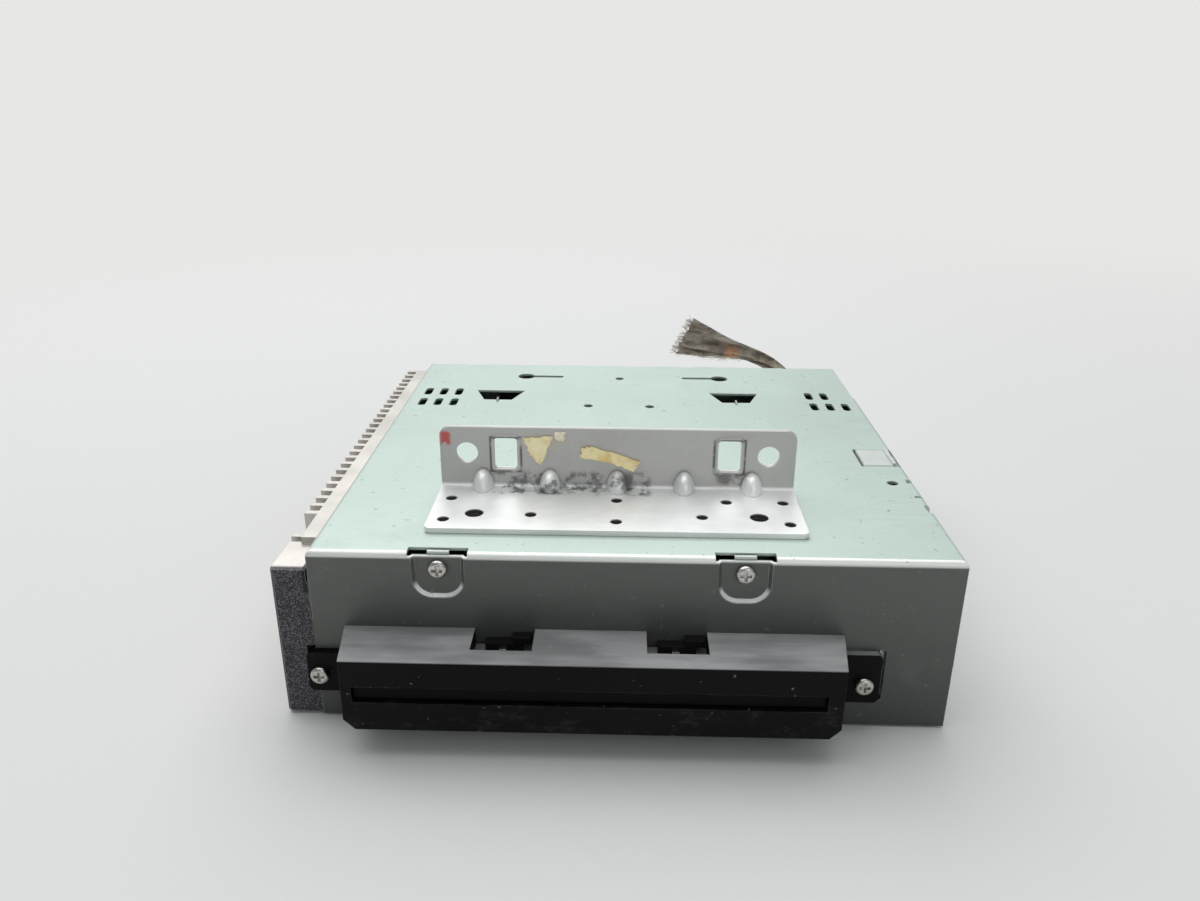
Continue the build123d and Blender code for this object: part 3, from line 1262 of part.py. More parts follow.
def deck_plate():
    """The swinging arm: a stamped plate with tabs for the rods, the sled screw and the clamp pin."""
    half = DECK_HALF_WIDTH
    far = arm_length + PLATTER_RADIUS
    hub = DECK_FLANGE_RADIUS
    outline = Polyline((-hub, 0), (-half, 14.0), (-half, far - half), (-half + 6, far), (half - 6, far),
                       (half, far - half), (half, 14.0), (hub, 0), close=True)
    plate = make_face(outline) + Circle(hub) - Circle(DECK_HUB_RADIUS + FIT)
    motor_middle = sled_motor_start() + SLED_MOTOR_LENGTH / 2 - 1.0
    motor_hole = Rectangle(2 * SLED_MOTOR_RADIUS + 1, SLED_MOTOR_LENGTH + 2)
    plate -= Pos(SLED_SCREW_OFFSET, motor_middle) * motor_hole
    lens_v = arm_length - SLED_INNER_RADIUS - SLED_TRAVEL / 2
    plate -= Pos(0, lens_v) * RectangleRounded(11.0, SLED_TRAVEL + 6, 2.0)
    deck = Pos(pivot_x, DECK_PIVOT_Y, DECK_Z) * extrude(plate, DECK_SHEET)
    low = DECK_Z + DECK_SHEET
    rod_start = arm_length - SLED_INNER_RADIUS - SLED_TRAVEL - SLED_LENGTH / 2 - 3.0
    rod_end = sled_screw_end() + 1.4
    for v in (rod_start, rod_end):
        for side in (-1, 1):
            u = side * SLED_ROD_HALF_PITCH
            tab = deck_block(u - 2, u + 2, v - 0.6, v + 0.6, low - 0.1, SLED_ROD_Z + SLED_ROD_RADIUS + 0.7)
            deck += tab
            deck -= deck_rod(u, v - 2, SLED_ROD_Z, SLED_ROD_RADIUS + 0.02, 4, "y")
    v = sled_screw_end() - 0.6
    u = SLED_SCREW_OFFSET
    deck += deck_block(u - 1.9, u + 1.9, v - 0.5, v + 0.5, low - 0.1, SLED_ROD_Z + SLED_SCREW_RADIUS + 0.7)
    deck -= deck_rod(u, v - 2, SLED_ROD_Z, SLED_SCREW_RADIUS + RUNNING, 4, "y")
    v = sled_motor_start() + SLED_MOTOR_LENGTH
    deck += deck_block(u - 4, u + 4, v, v + SHEET, low - 0.1, SLED_ROD_Z + 3.4)
    deck -= deck_rod(u, v - 1, SLED_ROD_Z, MOTOR_BOSS_RADIUS + FIT, 3, "y")
    for side in (-1, 1):
        u = side * (CLAMP_EAR_OFFSET + 1.9)
        tab = deck_block(u - 0.5, u + 0.5, CLAMP_AXIS_REACH - 3, CLAMP_AXIS_REACH + 3, low - 0.1,
                         CLAMP_AXIS_Z + 2.2)
        deck += tab
        deck -= deck_rod(u - 1, CLAMP_AXIS_REACH, CLAMP_AXIS_Z, CLAMP_PIN_RADIUS + 0.02, 2, "x")
    return deck


def deck_gear():
    """The hub of the arm: a toothed bush that turns on the post and carries the plate on its flange."""
    bore = DECK_POST_RADIUS + RUNNING
    gear = spur_gear(DECK_GEAR_TEETH, DECK_GEAR_WIDTH, bore, 270.0)
    top = DECK_Z + DECK_SHEET + 5.0
    hub = Pos(pivot_x, DECK_PIVOT_Y, DECK_GEAR_Z) * gear
    hub += tube(pivot_x, DECK_PIVOT_Y, DECK_GEAR_Z, DECK_HUB_RADIUS, bore, top - DECK_GEAR_Z)
    hub += tube(pivot_x, DECK_PIVOT_Y, DECK_Z - 0.9, DECK_FLANGE_RADIUS, bore, 0.9)
    return hub


def deck_post():
    """The steel pivot post on the frame's floor, with a retaining head."""
    top = DECK_Z + DECK_SHEET + 5.0
    post = rod(pivot_x, DECK_PIVOT_Y, frame_floor_top, DECK_POST_RADIUS, top + 0.4 - frame_floor_top)
    collar = rod(pivot_x, DECK_PIVOT_Y, frame_floor_top, DECK_HUB_RADIUS,
                 DECK_GEAR_Z - 0.2 - frame_floor_top)
    return post + collar + rod(pivot_x, DECK_PIVOT_Y, top + 0.4, DECK_POST_RADIUS + 1.2, 0.8)


def swing_pinion():
    plane = Plane(origin=(pivot_x, swing_pinion_y(), DECK_GEAR_Z), x_dir=(1, 0, 0), z_dir=(0, 0, 1))
    wheel = spur_gear(SWING_PINION_TEETH, DECK_GEAR_WIDTH, 0, 90.0 + 180.0 / SWING_PINION_TEETH)
    motor_seat = swing_shelf_z() + SHEET
    shaft = extrude(Circle(MOTOR_SHAFT_RADIUS), motor_seat + 2.0 - DECK_GEAR_Z)
    return plane * (wheel + shaft)


def swing_motor():
    plane = Plane(origin=(pivot_x, swing_pinion_y(), swing_shelf_z() + SHEET), x_dir=(1, 0, 0),
                  z_dir=(0, 0, -1))
    return motor(plane, SMALL_MOTOR_RADIUS, SMALL_MOTOR_FLAT, SMALL_MOTOR_LENGTH)


def guide_rods():
    start = arm_length - SLED_INNER_RADIUS - SLED_TRAVEL - SLED_LENGTH / 2 - 4.2
    length = sled_screw_end() + 2.0 - start
    return group([deck_rod(side * SLED_ROD_HALF_PITCH, start, SLED_ROD_Z, SLED_ROD_RADIUS, length, "y")
                  for side in (-1, 1)])


def spindle_motor():
    low = DECK_Z + DECK_SHEET
    top = DISC_Z - PLATTER_THICKNESS - AIR
    can = deck_rod(0, arm_length, low, SPINDLE_MOTOR_RADIUS, top - low, "z")
    can = fillet(can.edges().group_by(Axis.Z)[-1], 0.6)
    return can - deck_rod(0, arm_length, top - 1.6, MOTOR_SHAFT_RADIUS + RUNNING, 2, "z")


def turntable():
    """The platter with a coned centring boss and a shaft in the spindle motor."""
    low = DISC_Z - PLATTER_THICKNESS
    top = DISC_Z + DISC_THICKNESS
    boss = PLATTER_BOSS_RADIUS
    profile = Polyline((0, low), (PLATTER_RADIUS, low), (PLATTER_RADIUS, DISC_Z), (boss, DISC_Z),
                       (boss, DISC_Z + 0.5), (boss - 1.2, top), (0, top), close=True)
    platter = revolve(Plane.XZ * make_face(profile), Axis.Z)
    shaft = Pos(0, 0, low - AIR - 1.4) * extrude(Circle(MOTOR_SHAFT_RADIUS), AIR + 1.5)
    return Pos(pivot_x, DECK_PIVOT_Y + arm_length, 0) * (platter + shaft)


def sled_middle():
    return arm_length - SLED_INNER_RADIUS


def pickup_sled():
    """The sliding pickup block on its two rods."""
    half = SLED_WIDTH / 2
    v = sled_middle()
    low = DECK_Z + DECK_SHEET + 0.5
    high = DISC_Z - 0.6
    body = deck_block(-half, half, v - SLED_LENGTH / 2, v + SLED_LENGTH / 2, low, high)
    body = fillet(body.edges().filter_by(Axis.Z), 1.5)
    for side in (-1, 1):
        body -= deck_rod(side * SLED_ROD_HALF_PITCH, v - 20, SLED_ROD_Z, SLED_ROD_RADIUS + RUNNING, 40, "y")
    body -= deck_rod(SLED_SCREW_OFFSET, v - 20, SLED_ROD_Z, SLED_SCREW_RADIUS + RUNNING, 40, "y")
    return body - deck_rod(LENS_RADIUS + 1.4, v, high - 1.0, LENS_RADIUS + FIT, 3, "z")


def pickup_lens():
    v = sled_middle()
    high = DISC_Z - 0.6
    lens = deck_rod(LENS_RADIUS + 1.4, v, high - 1.0, LENS_RADIUS, 1.3, "z")
    return fillet(lens.edges().group_by(Axis.Z)[-1], 0.3)


def sled_motor():
    v = sled_motor_start() + SLED_MOTOR_LENGTH
    plane = Plane(origin=(pivot_x + SLED_SCREW_OFFSET, DECK_PIVOT_Y + v, SLED_ROD_Z), x_dir=(1, 0, 0),
                  z_dir=(0, 1, 0))
    return motor(plane, SLED_MOTOR_RADIUS, 2 * SLED_MOTOR_RADIUS - 1, SLED_MOTOR_LENGTH)


def sled_screw():
    """The lead screw of the sled, with grooves and a thin shaft in the sled motor."""
    start = sled_motor_start() + SLED_MOTOR_LENGTH + SHEET + AIR
    end = sled_screw_end()
    screw = deck_rod(SLED_SCREW_OFFSET, start, SLED_ROD_Z, SLED_SCREW_RADIUS, end - start, "y")
    shaft_start = start - SHEET - AIR - 2.0
    return screw + deck_rod(SLED_SCREW_OFFSET, shaft_start, SLED_ROD_Z, MOTOR_SHAFT_RADIUS,
                            start - shaft_start, "y")


def clamp_arm():
    """The hinged arm above the turntable, with two folded ears at its hinge."""
    top = CLAMP_PLATE_Z + CLAMP_SHEET
    outline = Polyline((-CLAMP_EAR_OFFSET - 0.5, CLAMP_AXIS_REACH - 3),
                       (CLAMP_EAR_OFFSET + 0.5, CLAMP_AXIS_REACH - 3),
                       (CLAMP_EAR_OFFSET + 0.5, CLAMP_AXIS_REACH + 8), (7.0, arm_length),
                       (-7.0, arm_length), (-CLAMP_EAR_OFFSET - 0.5, CLAMP_AXIS_REACH + 8), close=True)
    plate = make_face(outline) + Pos(0, arm_length) * Circle(7.0)
    plate -= Pos(0, arm_length) * Circle(3.3)
    plate -= Pos(0, arm_length / 2 + 6) * SlotOverall(30, 6, rotation=90)
    arm = Pos(pivot_x, DECK_PIVOT_Y, CLAMP_PLATE_Z) * extrude(plate, CLAMP_SHEET)
    for side in (-1, 1):
        u = side * CLAMP_EAR_OFFSET
        arm += deck_block(u - 0.5, u + 0.5, CLAMP_AXIS_REACH - 3, CLAMP_AXIS_REACH + 3,
                          CLAMP_AXIS_Z - 2, top)
        arm -= deck_rod(u - 1, CLAMP_AXIS_REACH, CLAMP_AXIS_Z, CLAMP_PIN_RADIUS + RUNNING, 2, "x")
    return arm


def clamp_pin():
    half = CLAMP_EAR_OFFSET + 2.8
    return deck_rod(-half, CLAMP_AXIS_REACH, CLAMP_AXIS_Z, CLAMP_PIN_RADIUS, 2 * half, "x")


def clamp_puck():
    """The loose puck that presses a disc on the turntable, hung in the arm by its headed stem."""
    low = DISC_Z + DISC_THICKNESS + AIR
    face = deck_rod(0, arm_length, low, PUCK_RADIUS, 1.5, "z")
    stem = deck_rod(0, arm_length, low, 3.0, CLAMP_PLATE_Z + CLAMP_SHEET + 0.3 - low, "z")
    head = deck_rod(0, arm_length, CLAMP_PLATE_Z + CLAMP_SHEET + 0.3, 4.6, 0.7, "z")
    return face + stem + head


# ------------------------------------------------------------------ electronics
def main_board():
    """The large board under the cover, notched where the springs pass."""
    gap = BOARD_GAP
    board = block(inner_left + gap, inner_right - gap, inner_front + 4.0, board_back, board_z,
                  board_z + BOARD_THICKNESS)
    for side in (-1, 1):
        x = WINDOW_OFFSET + side * WINDOW_HALF_PITCH
        half = WINDOW_BACK_WIDTH / 2 + 1.5
        front_y = window_front_y - 4.0
        board -= block(x - half, x + half, front_y, board_back + 1, board_z - 1,
                       board_z + BOARD_THICKNESS + 1)
    for y in board_screw_ys():
        for wall, inward in ((inner_left, 1), (inner_right, -1)):
            board -= rod(wall + inward * 3.6, y, board_z - 1, SCREW_RADIUS + FIT, BOARD_THICKNESS + 2)
    return board


def board_chips():
    """Flat packages on the upper side of the board."""
    low = board_z + BOARD_THICKNESS
    chips = []
    for x, y, width, length, height in ((-45, 80, 20, 20, 2.2), (5, 92, 16, 16, 2.0), (38, 70, 10, 18, 2.4),
                                        (-20, 60, 8, 12, 1.8), (55, 105, 12, 8, 2.0)):
        chip = block(x - width / 2, x + width / 2, y - length / 2, y + length / 2, low, low + height)
        chips.append(chamfer(chip.edges().group_by(Axis.Z)[-1], 0.3))
    return group(chips)


def capacitors():
    """Round electrolytic cans that hang below the board."""
    cans = []
    for x, y in ((-30.0, 30.0), (-18.0, 30.0), (20.0, 40.0), (32.0, 40.0)):
        can = rod(x, y, board_z - CAPACITOR_HEIGHT, CAPACITOR_RADIUS, CAPACITOR_HEIGHT)
        cans.append(fillet(can.edges().group_by(Axis.Z)[0], 0.5))
    return group(cans)


def power_chip():
    """The output stage, pressed on the left wall opposite the heat sink, with its pins in the board."""
    start = inner_left
    high = board_z - 4.0
    chip = block(start, start + 4.2, 82.0, 108.0, high - 18.0, high)
    for number in range(9):
        y = 84.6 + 2.6 * number
        chip += block(start + 2.0, start + 2.6, y - 0.35, y + 0.35, high - 1, board_z)
    return chip


def servo_board():
    """The mechanism's own small board, resting on the two spring arms."""
    low = FRAME_SIDE_TOP_Z
    x0 = WINDOW_OFFSET - WINDOW_HALF_PITCH - 12.0
    x1 = WINDOW_OFFSET + WINDOW_HALF_PITCH + 12.0
    y1 = frame_back - 2.0
    half = MAIN_CONNECTOR_WIDTH / 2 + 2.0
    board = block(x0, x1, y1 - SERVO_BOARD_LENGTH, y1, low, low + SERVO_BOARD_THICKNESS)
    bus_x = rear_connectors()[1][0]
    board -= block(MAIN_CONNECTOR_OFFSET - half, MAIN_CONNECTOR_OFFSET + half, frame_back - 18.0, back,
                   low - 1, low + 3)
    bus_half = BUS_CONNECTOR_WIDTH / 2 + 2.0
    board -= block(bus_x - bus_half, MAIN_CONNECTOR_OFFSET, frame_back - 18.0, back, low - 1, low + 3)
    return board


def connector(x, width, height, proud, columns, rows):
    """A moulded plug socket under the board's rear edge: hollow at the back, with pin blades inside."""
    rear = pan_back + proud
    start = frame_back + 0.9
    low = board_z - height
    body = block(x - width / 2, x + width / 2, start, rear, low, board_z - FIT)
    wall = 1.2
    body -= block(x - width / 2 + wall, x + width / 2 - wall, start + 3, rear + 1, low + wall,
                  board_z - FIT - wall)
    pitch_x = (width - 2 * wall) / columns
    pitch_z = (height - 2 * wall) / rows
    for column in range(columns):
        for row in range(rows):
            px = x - width / 2 + wall + pitch_x * (column + 0.5)
            pz = low + wall + pitch_z * (row + 0.5)
            body += block(px - 0.9, px + 0.9, start + 2, rear - PLUG_DEPTH, pz - 0.35, pz + 0.35)
    return body


def main_connector():
    x, width, height = rear_connectors()[0]
    return connector(x, width, height, MAIN_CONNECTOR_PROUD, MAIN_CONTACT_COLUMNS, 2)


def bus_connector():
    x, width, height = rear_connectors()[1]
    return connector(x, width, height, BUS_CONNECTOR_PROUD, BUS_CONTACT_COLUMNS, 2)


# ------------------------------------------------------------------ ground strap
def lug_x():
    return right - LUG_FROM_RIGHT


def strap_points():
    """The strap's route: from the lug outwards and up, then leftwards above the rear edge."""
    points = [(lug_x(), pan_back + LUG_THICKNESS + STRAP_FROM_LUG, LUG_Z + LUG_RADIUS + STRAP_RISE)]
    for run in STRAP_RUNS:
        last = points[-1]
        points.append((last[0] + run[0], last[1] + run[1], last[2] + run[2]))
    return points


def strap_radii(points):
    """Arc radii that are as large as the neighbouring runs allow."""
    radii = []
    for before, here, after in zip(points, points[1:], points[2:]):
        first = Vector(*here) - Vector(*before)
        second = Vector(*after) - Vector(*here)
        half_turn = math.radians(first.get_angle(second)) / 2
        radii.append(STRAP_ARC_SHARE * min(first.length, second.length) / math.tan(half_turn))
    return radii


def ground_strap():
    points = strap_points()
    radii = strap_radii(points)
    print("strap radii", [round(radius, 1) for radius in radii])
    path = FilletPolyline(*points, radius=radii)
    start = Plane(origin=path @ 0, z_dir=path % 0)
    strap = sweep(start * Circle(STRAP_DIAMETER / 2), path)
    expected = math.pi * STRAP_DIAMETER ** 2 / 4 * path.length
    print("strap length", round(path.length, 1), "volume ratio", round(strap.volume / expected, 4))
    return strap


def ground_lug():
    """A crimped ring terminal: a flat eye on the rear wall and a barrel that holds the strap."""
    x = lug_x()
    seat = pan_back
    eye = rod(x, seat, LUG_Z, LUG_RADIUS, LUG_THICKNESS, "y")
    start = strap_points()[0]
    half_neck = LUG_NECK_WIDTH / 2
    neck = block(x - half_neck, x + half_neck, seat, seat + LUG_THICKNESS, LUG_Z, start[2] + 1.0)
    run = Vector(*STRAP_RUNS[0]).normalized()
    base = Plane(origin=Vector(*start) - run * 1.5, x_dir=(1, 0, 0), z_dir=run)
    barrel = base * extrude(Circle(STRAP_DIAMETER / 2 + BARREL_WALL), 1.5 + BARREL_LENGTH)
    foot = block(x - half_neck, x + half_neck, seat, start[1] - 1.5, start[2] - 1.6, start[2] + 0.4)
    lug = eye + neck + foot + barrel
    bore = Circle(STRAP_DIAMETER / 2 + STRAP_FIT)
    lug -= Plane(origin=start, x_dir=(1, 0, 0), z_dir=run) * extrude(bore, 20)
    lug -= block(x - 20, x + 20, seat - 20, seat, 0, 80)
    return lug - rod(x, seat - 1, LUG_Z, SCREW_RADIUS + FIT, LUG_THICKNESS + 2, "y")


def ground_screw():
    return pan_head_screw(lug_x(), pan_back + LUG_THICKNESS, LUG_Z, SCREW_LENGTH, "y", -1)


# ------------------------------------------------------------------ all pieces
def all_pieces():
    pieces = {
        "base_pan": base_pan(), "top_cover": top_cover(), "mount_bracket": mount_bracket(),
        "cover_screws": cover_screws(), "heat_sink": heat_sink(), "heat_sink_screws": heat_sink_screws(),
        "mouth_housing": mouth_housing(), "mouth_screws": mouth_screws(), "dust_flap": dust_flap(),
        "side_clip": side_clip(), "mech_frame": mech_frame(), "frame_dampers": frame_dampers(),
        "suspension_springs": suspension_springs(), "main_board": main_board(),
        "board_screws": board_screws(),
        "board_chips": board_chips(), "capacitors": capacitors(), "power_chip": power_chip(),
        "servo_board": servo_board(), "main_connector": main_connector(), "bus_connector": bus_connector(),
        "ground_lug": ground_lug(), "ground_screw": ground_screw(), "ground_strap": ground_strap(),
        "roller_shaft": roller_shaft(), "feed_rollers": feed_rollers(), "roller_gear": roller_gear(),
        "roller_bushes": roller_bushes(), "idler_gear": idler_gear(), "idler_axle": idler_axle(),
        "feed_pinion": feed_pinion(), "feed_motor": feed_motor(), "disc_guide": disc_guide(),
        "tray_guide_post": tray_guide_post(), "cam_plate": cam_plate(), "cam_studs": cam_studs(),
        "lift_gear": lift_gear(), "lift_motor": lift_motor(), "deck_plate": deck_plate(),
        "deck_gear": deck_gear(), "deck_post": deck_post(), "swing_pinion": swing_pinion(),
        "swing_motor": swing_motor(), "guide_rods": guide_rods(), "spindle_motor": spindle_motor(),
        "turntable": turntable(), "pickup_sled": pickup_sled(), "pickup_lens": pickup_lens(),
        "sled_motor": sled_motor(), "sled_screw": sled_screw(), "clamp_arm": clamp_arm(),
        "clamp_pin": clamp_pin(), "clamp_puck": clamp_puck(),
    }
    for number, z in enumerate(tray_zs):
        pieces["tray_" + str(number + 1)] = tray(z)
    return pieces


def origin_shift():
    """The move that puts the origin below the middle of everything but the strap."""
    sink_tip = pan_left - FIT - SINK_STEP - SINK_THICKNESS - SINK_FIN_DEPTH
    connector_end = pan_back + MAIN_CONNECTOR_PROUD
    return -(sink_tip + right) / 2, -(connector_end - MOUTH_REACH) / 2


def main():
    os.makedirs("parts", exist_ok=True)
    shift_x, shift_y = origin_shift()
    print("shift", round(shift_x, 4), round(shift_y, 4), "pivot_x", pivot_x, "arm", round(arm_length, 4),
          "swing", round(swing_angle, 3))
    for name, piece in all_pieces().items():
        export_step(Pos(shift_x, shift_y, 0) * piece, "parts/" + name + ".step")


main()
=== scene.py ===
import json
import math
import random

import bpy
from mathutils import Matrix, Vector

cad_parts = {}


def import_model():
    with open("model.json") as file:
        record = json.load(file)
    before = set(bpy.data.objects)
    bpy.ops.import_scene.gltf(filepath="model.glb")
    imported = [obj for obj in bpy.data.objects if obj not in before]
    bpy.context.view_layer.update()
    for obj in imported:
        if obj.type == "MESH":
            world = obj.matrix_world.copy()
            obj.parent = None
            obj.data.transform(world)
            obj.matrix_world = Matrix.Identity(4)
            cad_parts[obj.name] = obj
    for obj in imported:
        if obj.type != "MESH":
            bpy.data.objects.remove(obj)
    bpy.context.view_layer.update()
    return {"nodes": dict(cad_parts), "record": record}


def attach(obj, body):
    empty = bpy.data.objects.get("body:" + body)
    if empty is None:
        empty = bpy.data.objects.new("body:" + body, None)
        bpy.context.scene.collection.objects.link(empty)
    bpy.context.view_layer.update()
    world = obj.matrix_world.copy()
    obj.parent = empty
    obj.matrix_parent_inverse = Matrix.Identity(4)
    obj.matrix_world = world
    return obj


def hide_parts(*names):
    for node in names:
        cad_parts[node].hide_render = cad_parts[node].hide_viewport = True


# A car CD changer on a pale floor. Places are given as on the case: millimetres, with x = 0 at the
# middle of the case, y = 0 at its front panel and z = 0 at its floor.

MM = 0.001
SHIFT_X = 5.25
SHIFT_Y = -84.325

# The camera stands where the photograph was taken.
CAMERA_PLACE = (-3.96, -226.03, 173.66)
CAMERA_YAW = -1.395
CAMERA_PITCH = 21.743
CAMERA_ROLL = 0.359
CAMERA_LENS = 28.57
CAMERA_SENSOR = 36.0
CAMERA_CLIP_START = 0.01

# Sizes of the case that the pieces follow, and the domes over its bend tabs.
BRACKET_X = -5.2
FLANGE_FRONT_Y = 42.0
GUSSET_COUNT = 5
GUSSET_PITCH = 20.5
BRACKET_BASE_Z = 54.6
DOME_HALF_WIDTH = 3.3
DOME_REACH = 5.9
DOME_STEPS = 14
DOME_END = 0.01
DISC_X = -11.7
NOTCH_HALF_PITCH = 23.7

# The studio, in metres.
BACKGROUND_COLOUR = (0.80, 0.80, 0.79)
FLOOR_COLOUR = (0.66, 0.66, 0.65)
FLOOR_FADE_START = 0.22
FLOOR_FADE_END = 0.95
SKY_COLOUR = (0.86, 0.90, 0.93)
SKY_STRENGTH = 0.42
FLOOR_HALF_SIZE = 6.0
FLOOR_DROP = 0.0003

# Each lamp: name, place, target and side in metres, and its power.
LAMPS = [
    ("overhead", (-0.20, 0.45, 1.3), (0, 0, 0.03), 2.0, 23.0),
    ("front_fill", (0.5, -1.2, 0.7), (0, 0, 0.03), 0.9, 2.2),
    ("rear", (-0.5, 1.3, 1.0), (0, 0, 0.04), 1.2, 2.0),
]

# The rise of a face's normal over which a finish comes to treat it as level, or as leaning back.
LEVEL_FACE = (0.5, 0.95)
LEANING_WALL = (0.08, 0.4)
BEVEL_SAMPLES = 4

# Boxes on the case that a finish treats apart, each between two places.
FRONT_PANEL = ((-95, -1, -1), (95, 4.0, 51.7))
UNDER_BRACKET = ((-58.5, 12, 52), (48.5, 40, 54))
POCKET_WALLS = ((-95, 0.15, 30), (95, 2.6, 51.2))
TOP_FOLD = ((-89.5, -0.6, 51.3), (89.5, 1.5, 53.4))
FLANGE = ((-62, 41, 55.4), (52, 43.2, 75))
BRACKET_HOLLOW = ((-58, 12.8, 50), (47.6, 40.2, 54.25))
BRACKET_BEND = ((-43, 36, 52), (5, 42.5, 59.5))
BEND_PATCH = ((25, 41, 56.0), (35, 42.5, 60.2))
FLANGE_GLUE = ((-34, 41, 66), (-20, 42.3, 73))
FLANGE_STAIN = ((-58, 41, 55), (48, 42.5, 73))
PAINT_DAB = ((-58.9, 41, 67.9), (-55.9, 42.3, 72.2))
SINK_FRONT = ((-105, -2, -1), (-80, 2.2, 60))
SINK_SEAM = ((-90.7, -5, 40), (-88, 185, 56))
MOUTH_LOW_FRONT = ((-80, -18, 9.2), (60, -16.9, 19.5))
STRAP_RUBBED = ((44.5, 195, 44), (50.5, 225, 52.5))

# Dark outlines round the rims of the flange's two windows.
RIM_MIDDLES = (-39.15, 28.75)
RIM_HALF_WIDTH = 5.0
RIM_LOW_Z = 59.1
RIM_HIGH_Z = 70.9
RIM_FRONT_Y = 41.0
RIM_BACK_Y = 42.6
RIM_LINE = 0.8
RIM_SOFTNESS = 0.25

# Colours of the finishes.
COVER_COLOUR = (0.50, 0.60, 0.54)
BRACKET_COLOUR = (0.86, 0.87, 0.85)
SINK_COLOUR = (0.62, 0.59, 0.55)
MOUTH_COLOUR = (0.0035, 0.0035, 0.0038)
# Painted shade over the cover's front panel: its low and its high tone.
FRONT_SHADE_LOW_COLOUR = (0.052, 0.052, 0.049)
FRONT_SHADE_HIGH_COLOUR = (0.092, 0.093, 0.088)
# Painted shade on the cover under the bracket.
UNDER_BRACKET_SHADE_COLOUR = (0.06, 0.055, 0.05)
# Painted highlight on the pocket walls that face up.
POCKET_HIGHLIGHT_COLOUR = (0.85, 0.86, 0.84)
# Painted highlight along the top fold of the front panel.
FOLD_HIGHLIGHT_COLOUR = (0.86, 0.86, 0.83)
SMUDGE_COLOUR = (0.30, 0.33, 0.30)
SPECK_COLOUR = (0.20, 0.19, 0.16)
DUST_COLOUR = (0.75, 0.76, 0.72)
WORN_COLOUR = (0.80, 0.82, 0.80)
# Painted shade of the bracket's upright flange: the same steel as its base, darker.
FLANGE_SHADE_COLOUR = (0.47, 0.465, 0.45)
# Painted shade in the bracket's holes and under it.
HOLLOW_SHADE_COLOUR = (0.05, 0.045, 0.04)
# Dark spots along the bracket's bend.
BEND_DARK_COLOUR = (0.05, 0.05, 0.05)
PATCH_COLOUR = (0.06, 0.06, 0.06)
RIM_COLOUR = (0.06, 0.06, 0.058)
GLUE_COLOUR = (0.62, 0.50, 0.26)
STAIN_COLOUR = (0.30, 0.27, 0.22)
PAINT_COLOUR = (0.55, 0.025, 0.02)
BARE_STEEL_COLOUR = (0.85, 0.85, 0.83)
CAST_DARK_COLOUR = (0.05, 0.049, 0.056)
CAST_PALE_COLOUR = (0.21, 0.207, 0.22)
SEAM_COLOUR = (0.03, 0.03, 0.03)
FIN_EDGE_COLOUR = (0.86, 0.85, 0.82)
# Painted highlight on the mouth's up-facing top.
MOUTH_TOP_SHEEN_COLOUR = (0.40, 0.40, 0.402)
MOUTH_SCUFF_COLOUR = (0.40, 0.39, 0.37)
MOUTH_SPECK_COLOUR = (0.45, 0.44, 0.42)
MOUTH_RUB_COLOUR = (0.10, 0.10, 0.105)

# The catch and spring tongue in each notch of the mouth: corners, with x from the notch's middle.
CATCH_BODY = ((-5.2, -3.4, 25.1), (5.2, -0.4, 27.4))
CATCH_STEP = ((2.4, -3.4, 27.4), (7.4, -0.4, 29.2))
SPRING_TONGUE = ((-1.3, -4.6, 25.15), (0.7, -3.4, 26.2))

# The pins of the rear sockets. Each socket: name, middle x, width, height, columns and rear face y.
SOCKETS = [
    ("main_pins", -6.0, 46.0, 21.0, 8, 186.05),
    ("bus_pins", -49.0, 18.0, 11.0, 4, 181.25),
]
SOCKET_TOP_Z = 44.6
SOCKET_WALL = 1.2
PIN_ROWS = 2
PIN_ROOT_Y = 176.0
PIN_SETBACK = 5.0
PIN_HALF = (0.98, 0.43)
PIN_TIP_HALF = (0.6, 0.2)
PIN_TAPER = 0.4
PIN_OVER = 0.12

# The ground strap: its route, which leaves the lug as its solid's does and then runs lower, and its weave.
STRAP_START = (77.0, 184.2, 25.0)
STRAP_RUNS = [(0.0, 12.0, 9.0), (-6.9, 10.4, 9.4), (-12.1, 6.1, 5.4), (-17.2, 0.0, 4.6),
              (-15.2, 0.8, 6.0)]
STRAP_RESOLUTION = 40
STRAP_WIDTH = 10.0
STRAP_FLAT = Vector((1.0, 0.0, 0.0))
STRAP_TIPPED = Vector((0.05, -0.35, 0.94))
STRAP_TIP_RATE = 1.7
STRAP_NECK_AT = 0.42
STRAP_NECK = 5.2
STRAP_TORN_WIDTH = 15.6
STRAP_TEARS = 0.9
STRAP_YARNS = 20
STRAP_YARN_HALF_WIDTH = 0.62
STRAP_YARN_HALF_THICKNESS = 0.16
STRAP_PLY = 0.2
STRAP_RIPPLE = 1.1
STRAP_WAVES_ACROSS = 5.0
STRAP_WAVES_ALONG = 9.0
STRAP_YARN_LEAN = 0.55
STRAP_TORN_LIFT = 0.25
STRAP_FLARE_AT = 0.5
STRAP_FLARE_SHIFT = 8.5
STRAP_FLARE_WIDTH = 11.0
STRAP_FLARE_ROOT = 0.15
STRAP_FLARE_DEPTH = 1.4
STRAP_LAY = 9.0
STRAP_STEPS = 260
STRAP_FIBRES = 210
STRAP_SEED = 7
FLARE_SEED = 13
FIBRE_SEED = 21
FIBRE_FROM = 0.6
FIBRE_BEADS = 7
FIBRE_INSET = 0.97
FIBRE_END_SIDE = (-0.5, 0.3)
FIBRE_END_LIFT = (-0.4, 0.4)
FIBRE_EDGE_ALONG = 0.8
FIBRE_EDGE_SIDE = (0.2, 0.7)
FIBRE_EDGE_LIFT = (-0.5, 0.5)
FIBRE_BEND_SIDE = (-0.12, 0.08)
FIBRE_BEND_LIFT = (-0.1, 0.1)
FIBRE_STRIDE = (0.25, 0.62)
FIBRE_HALF_WIDTH = 0.09
FIBRE_HALF_THICKNESS = 0.06

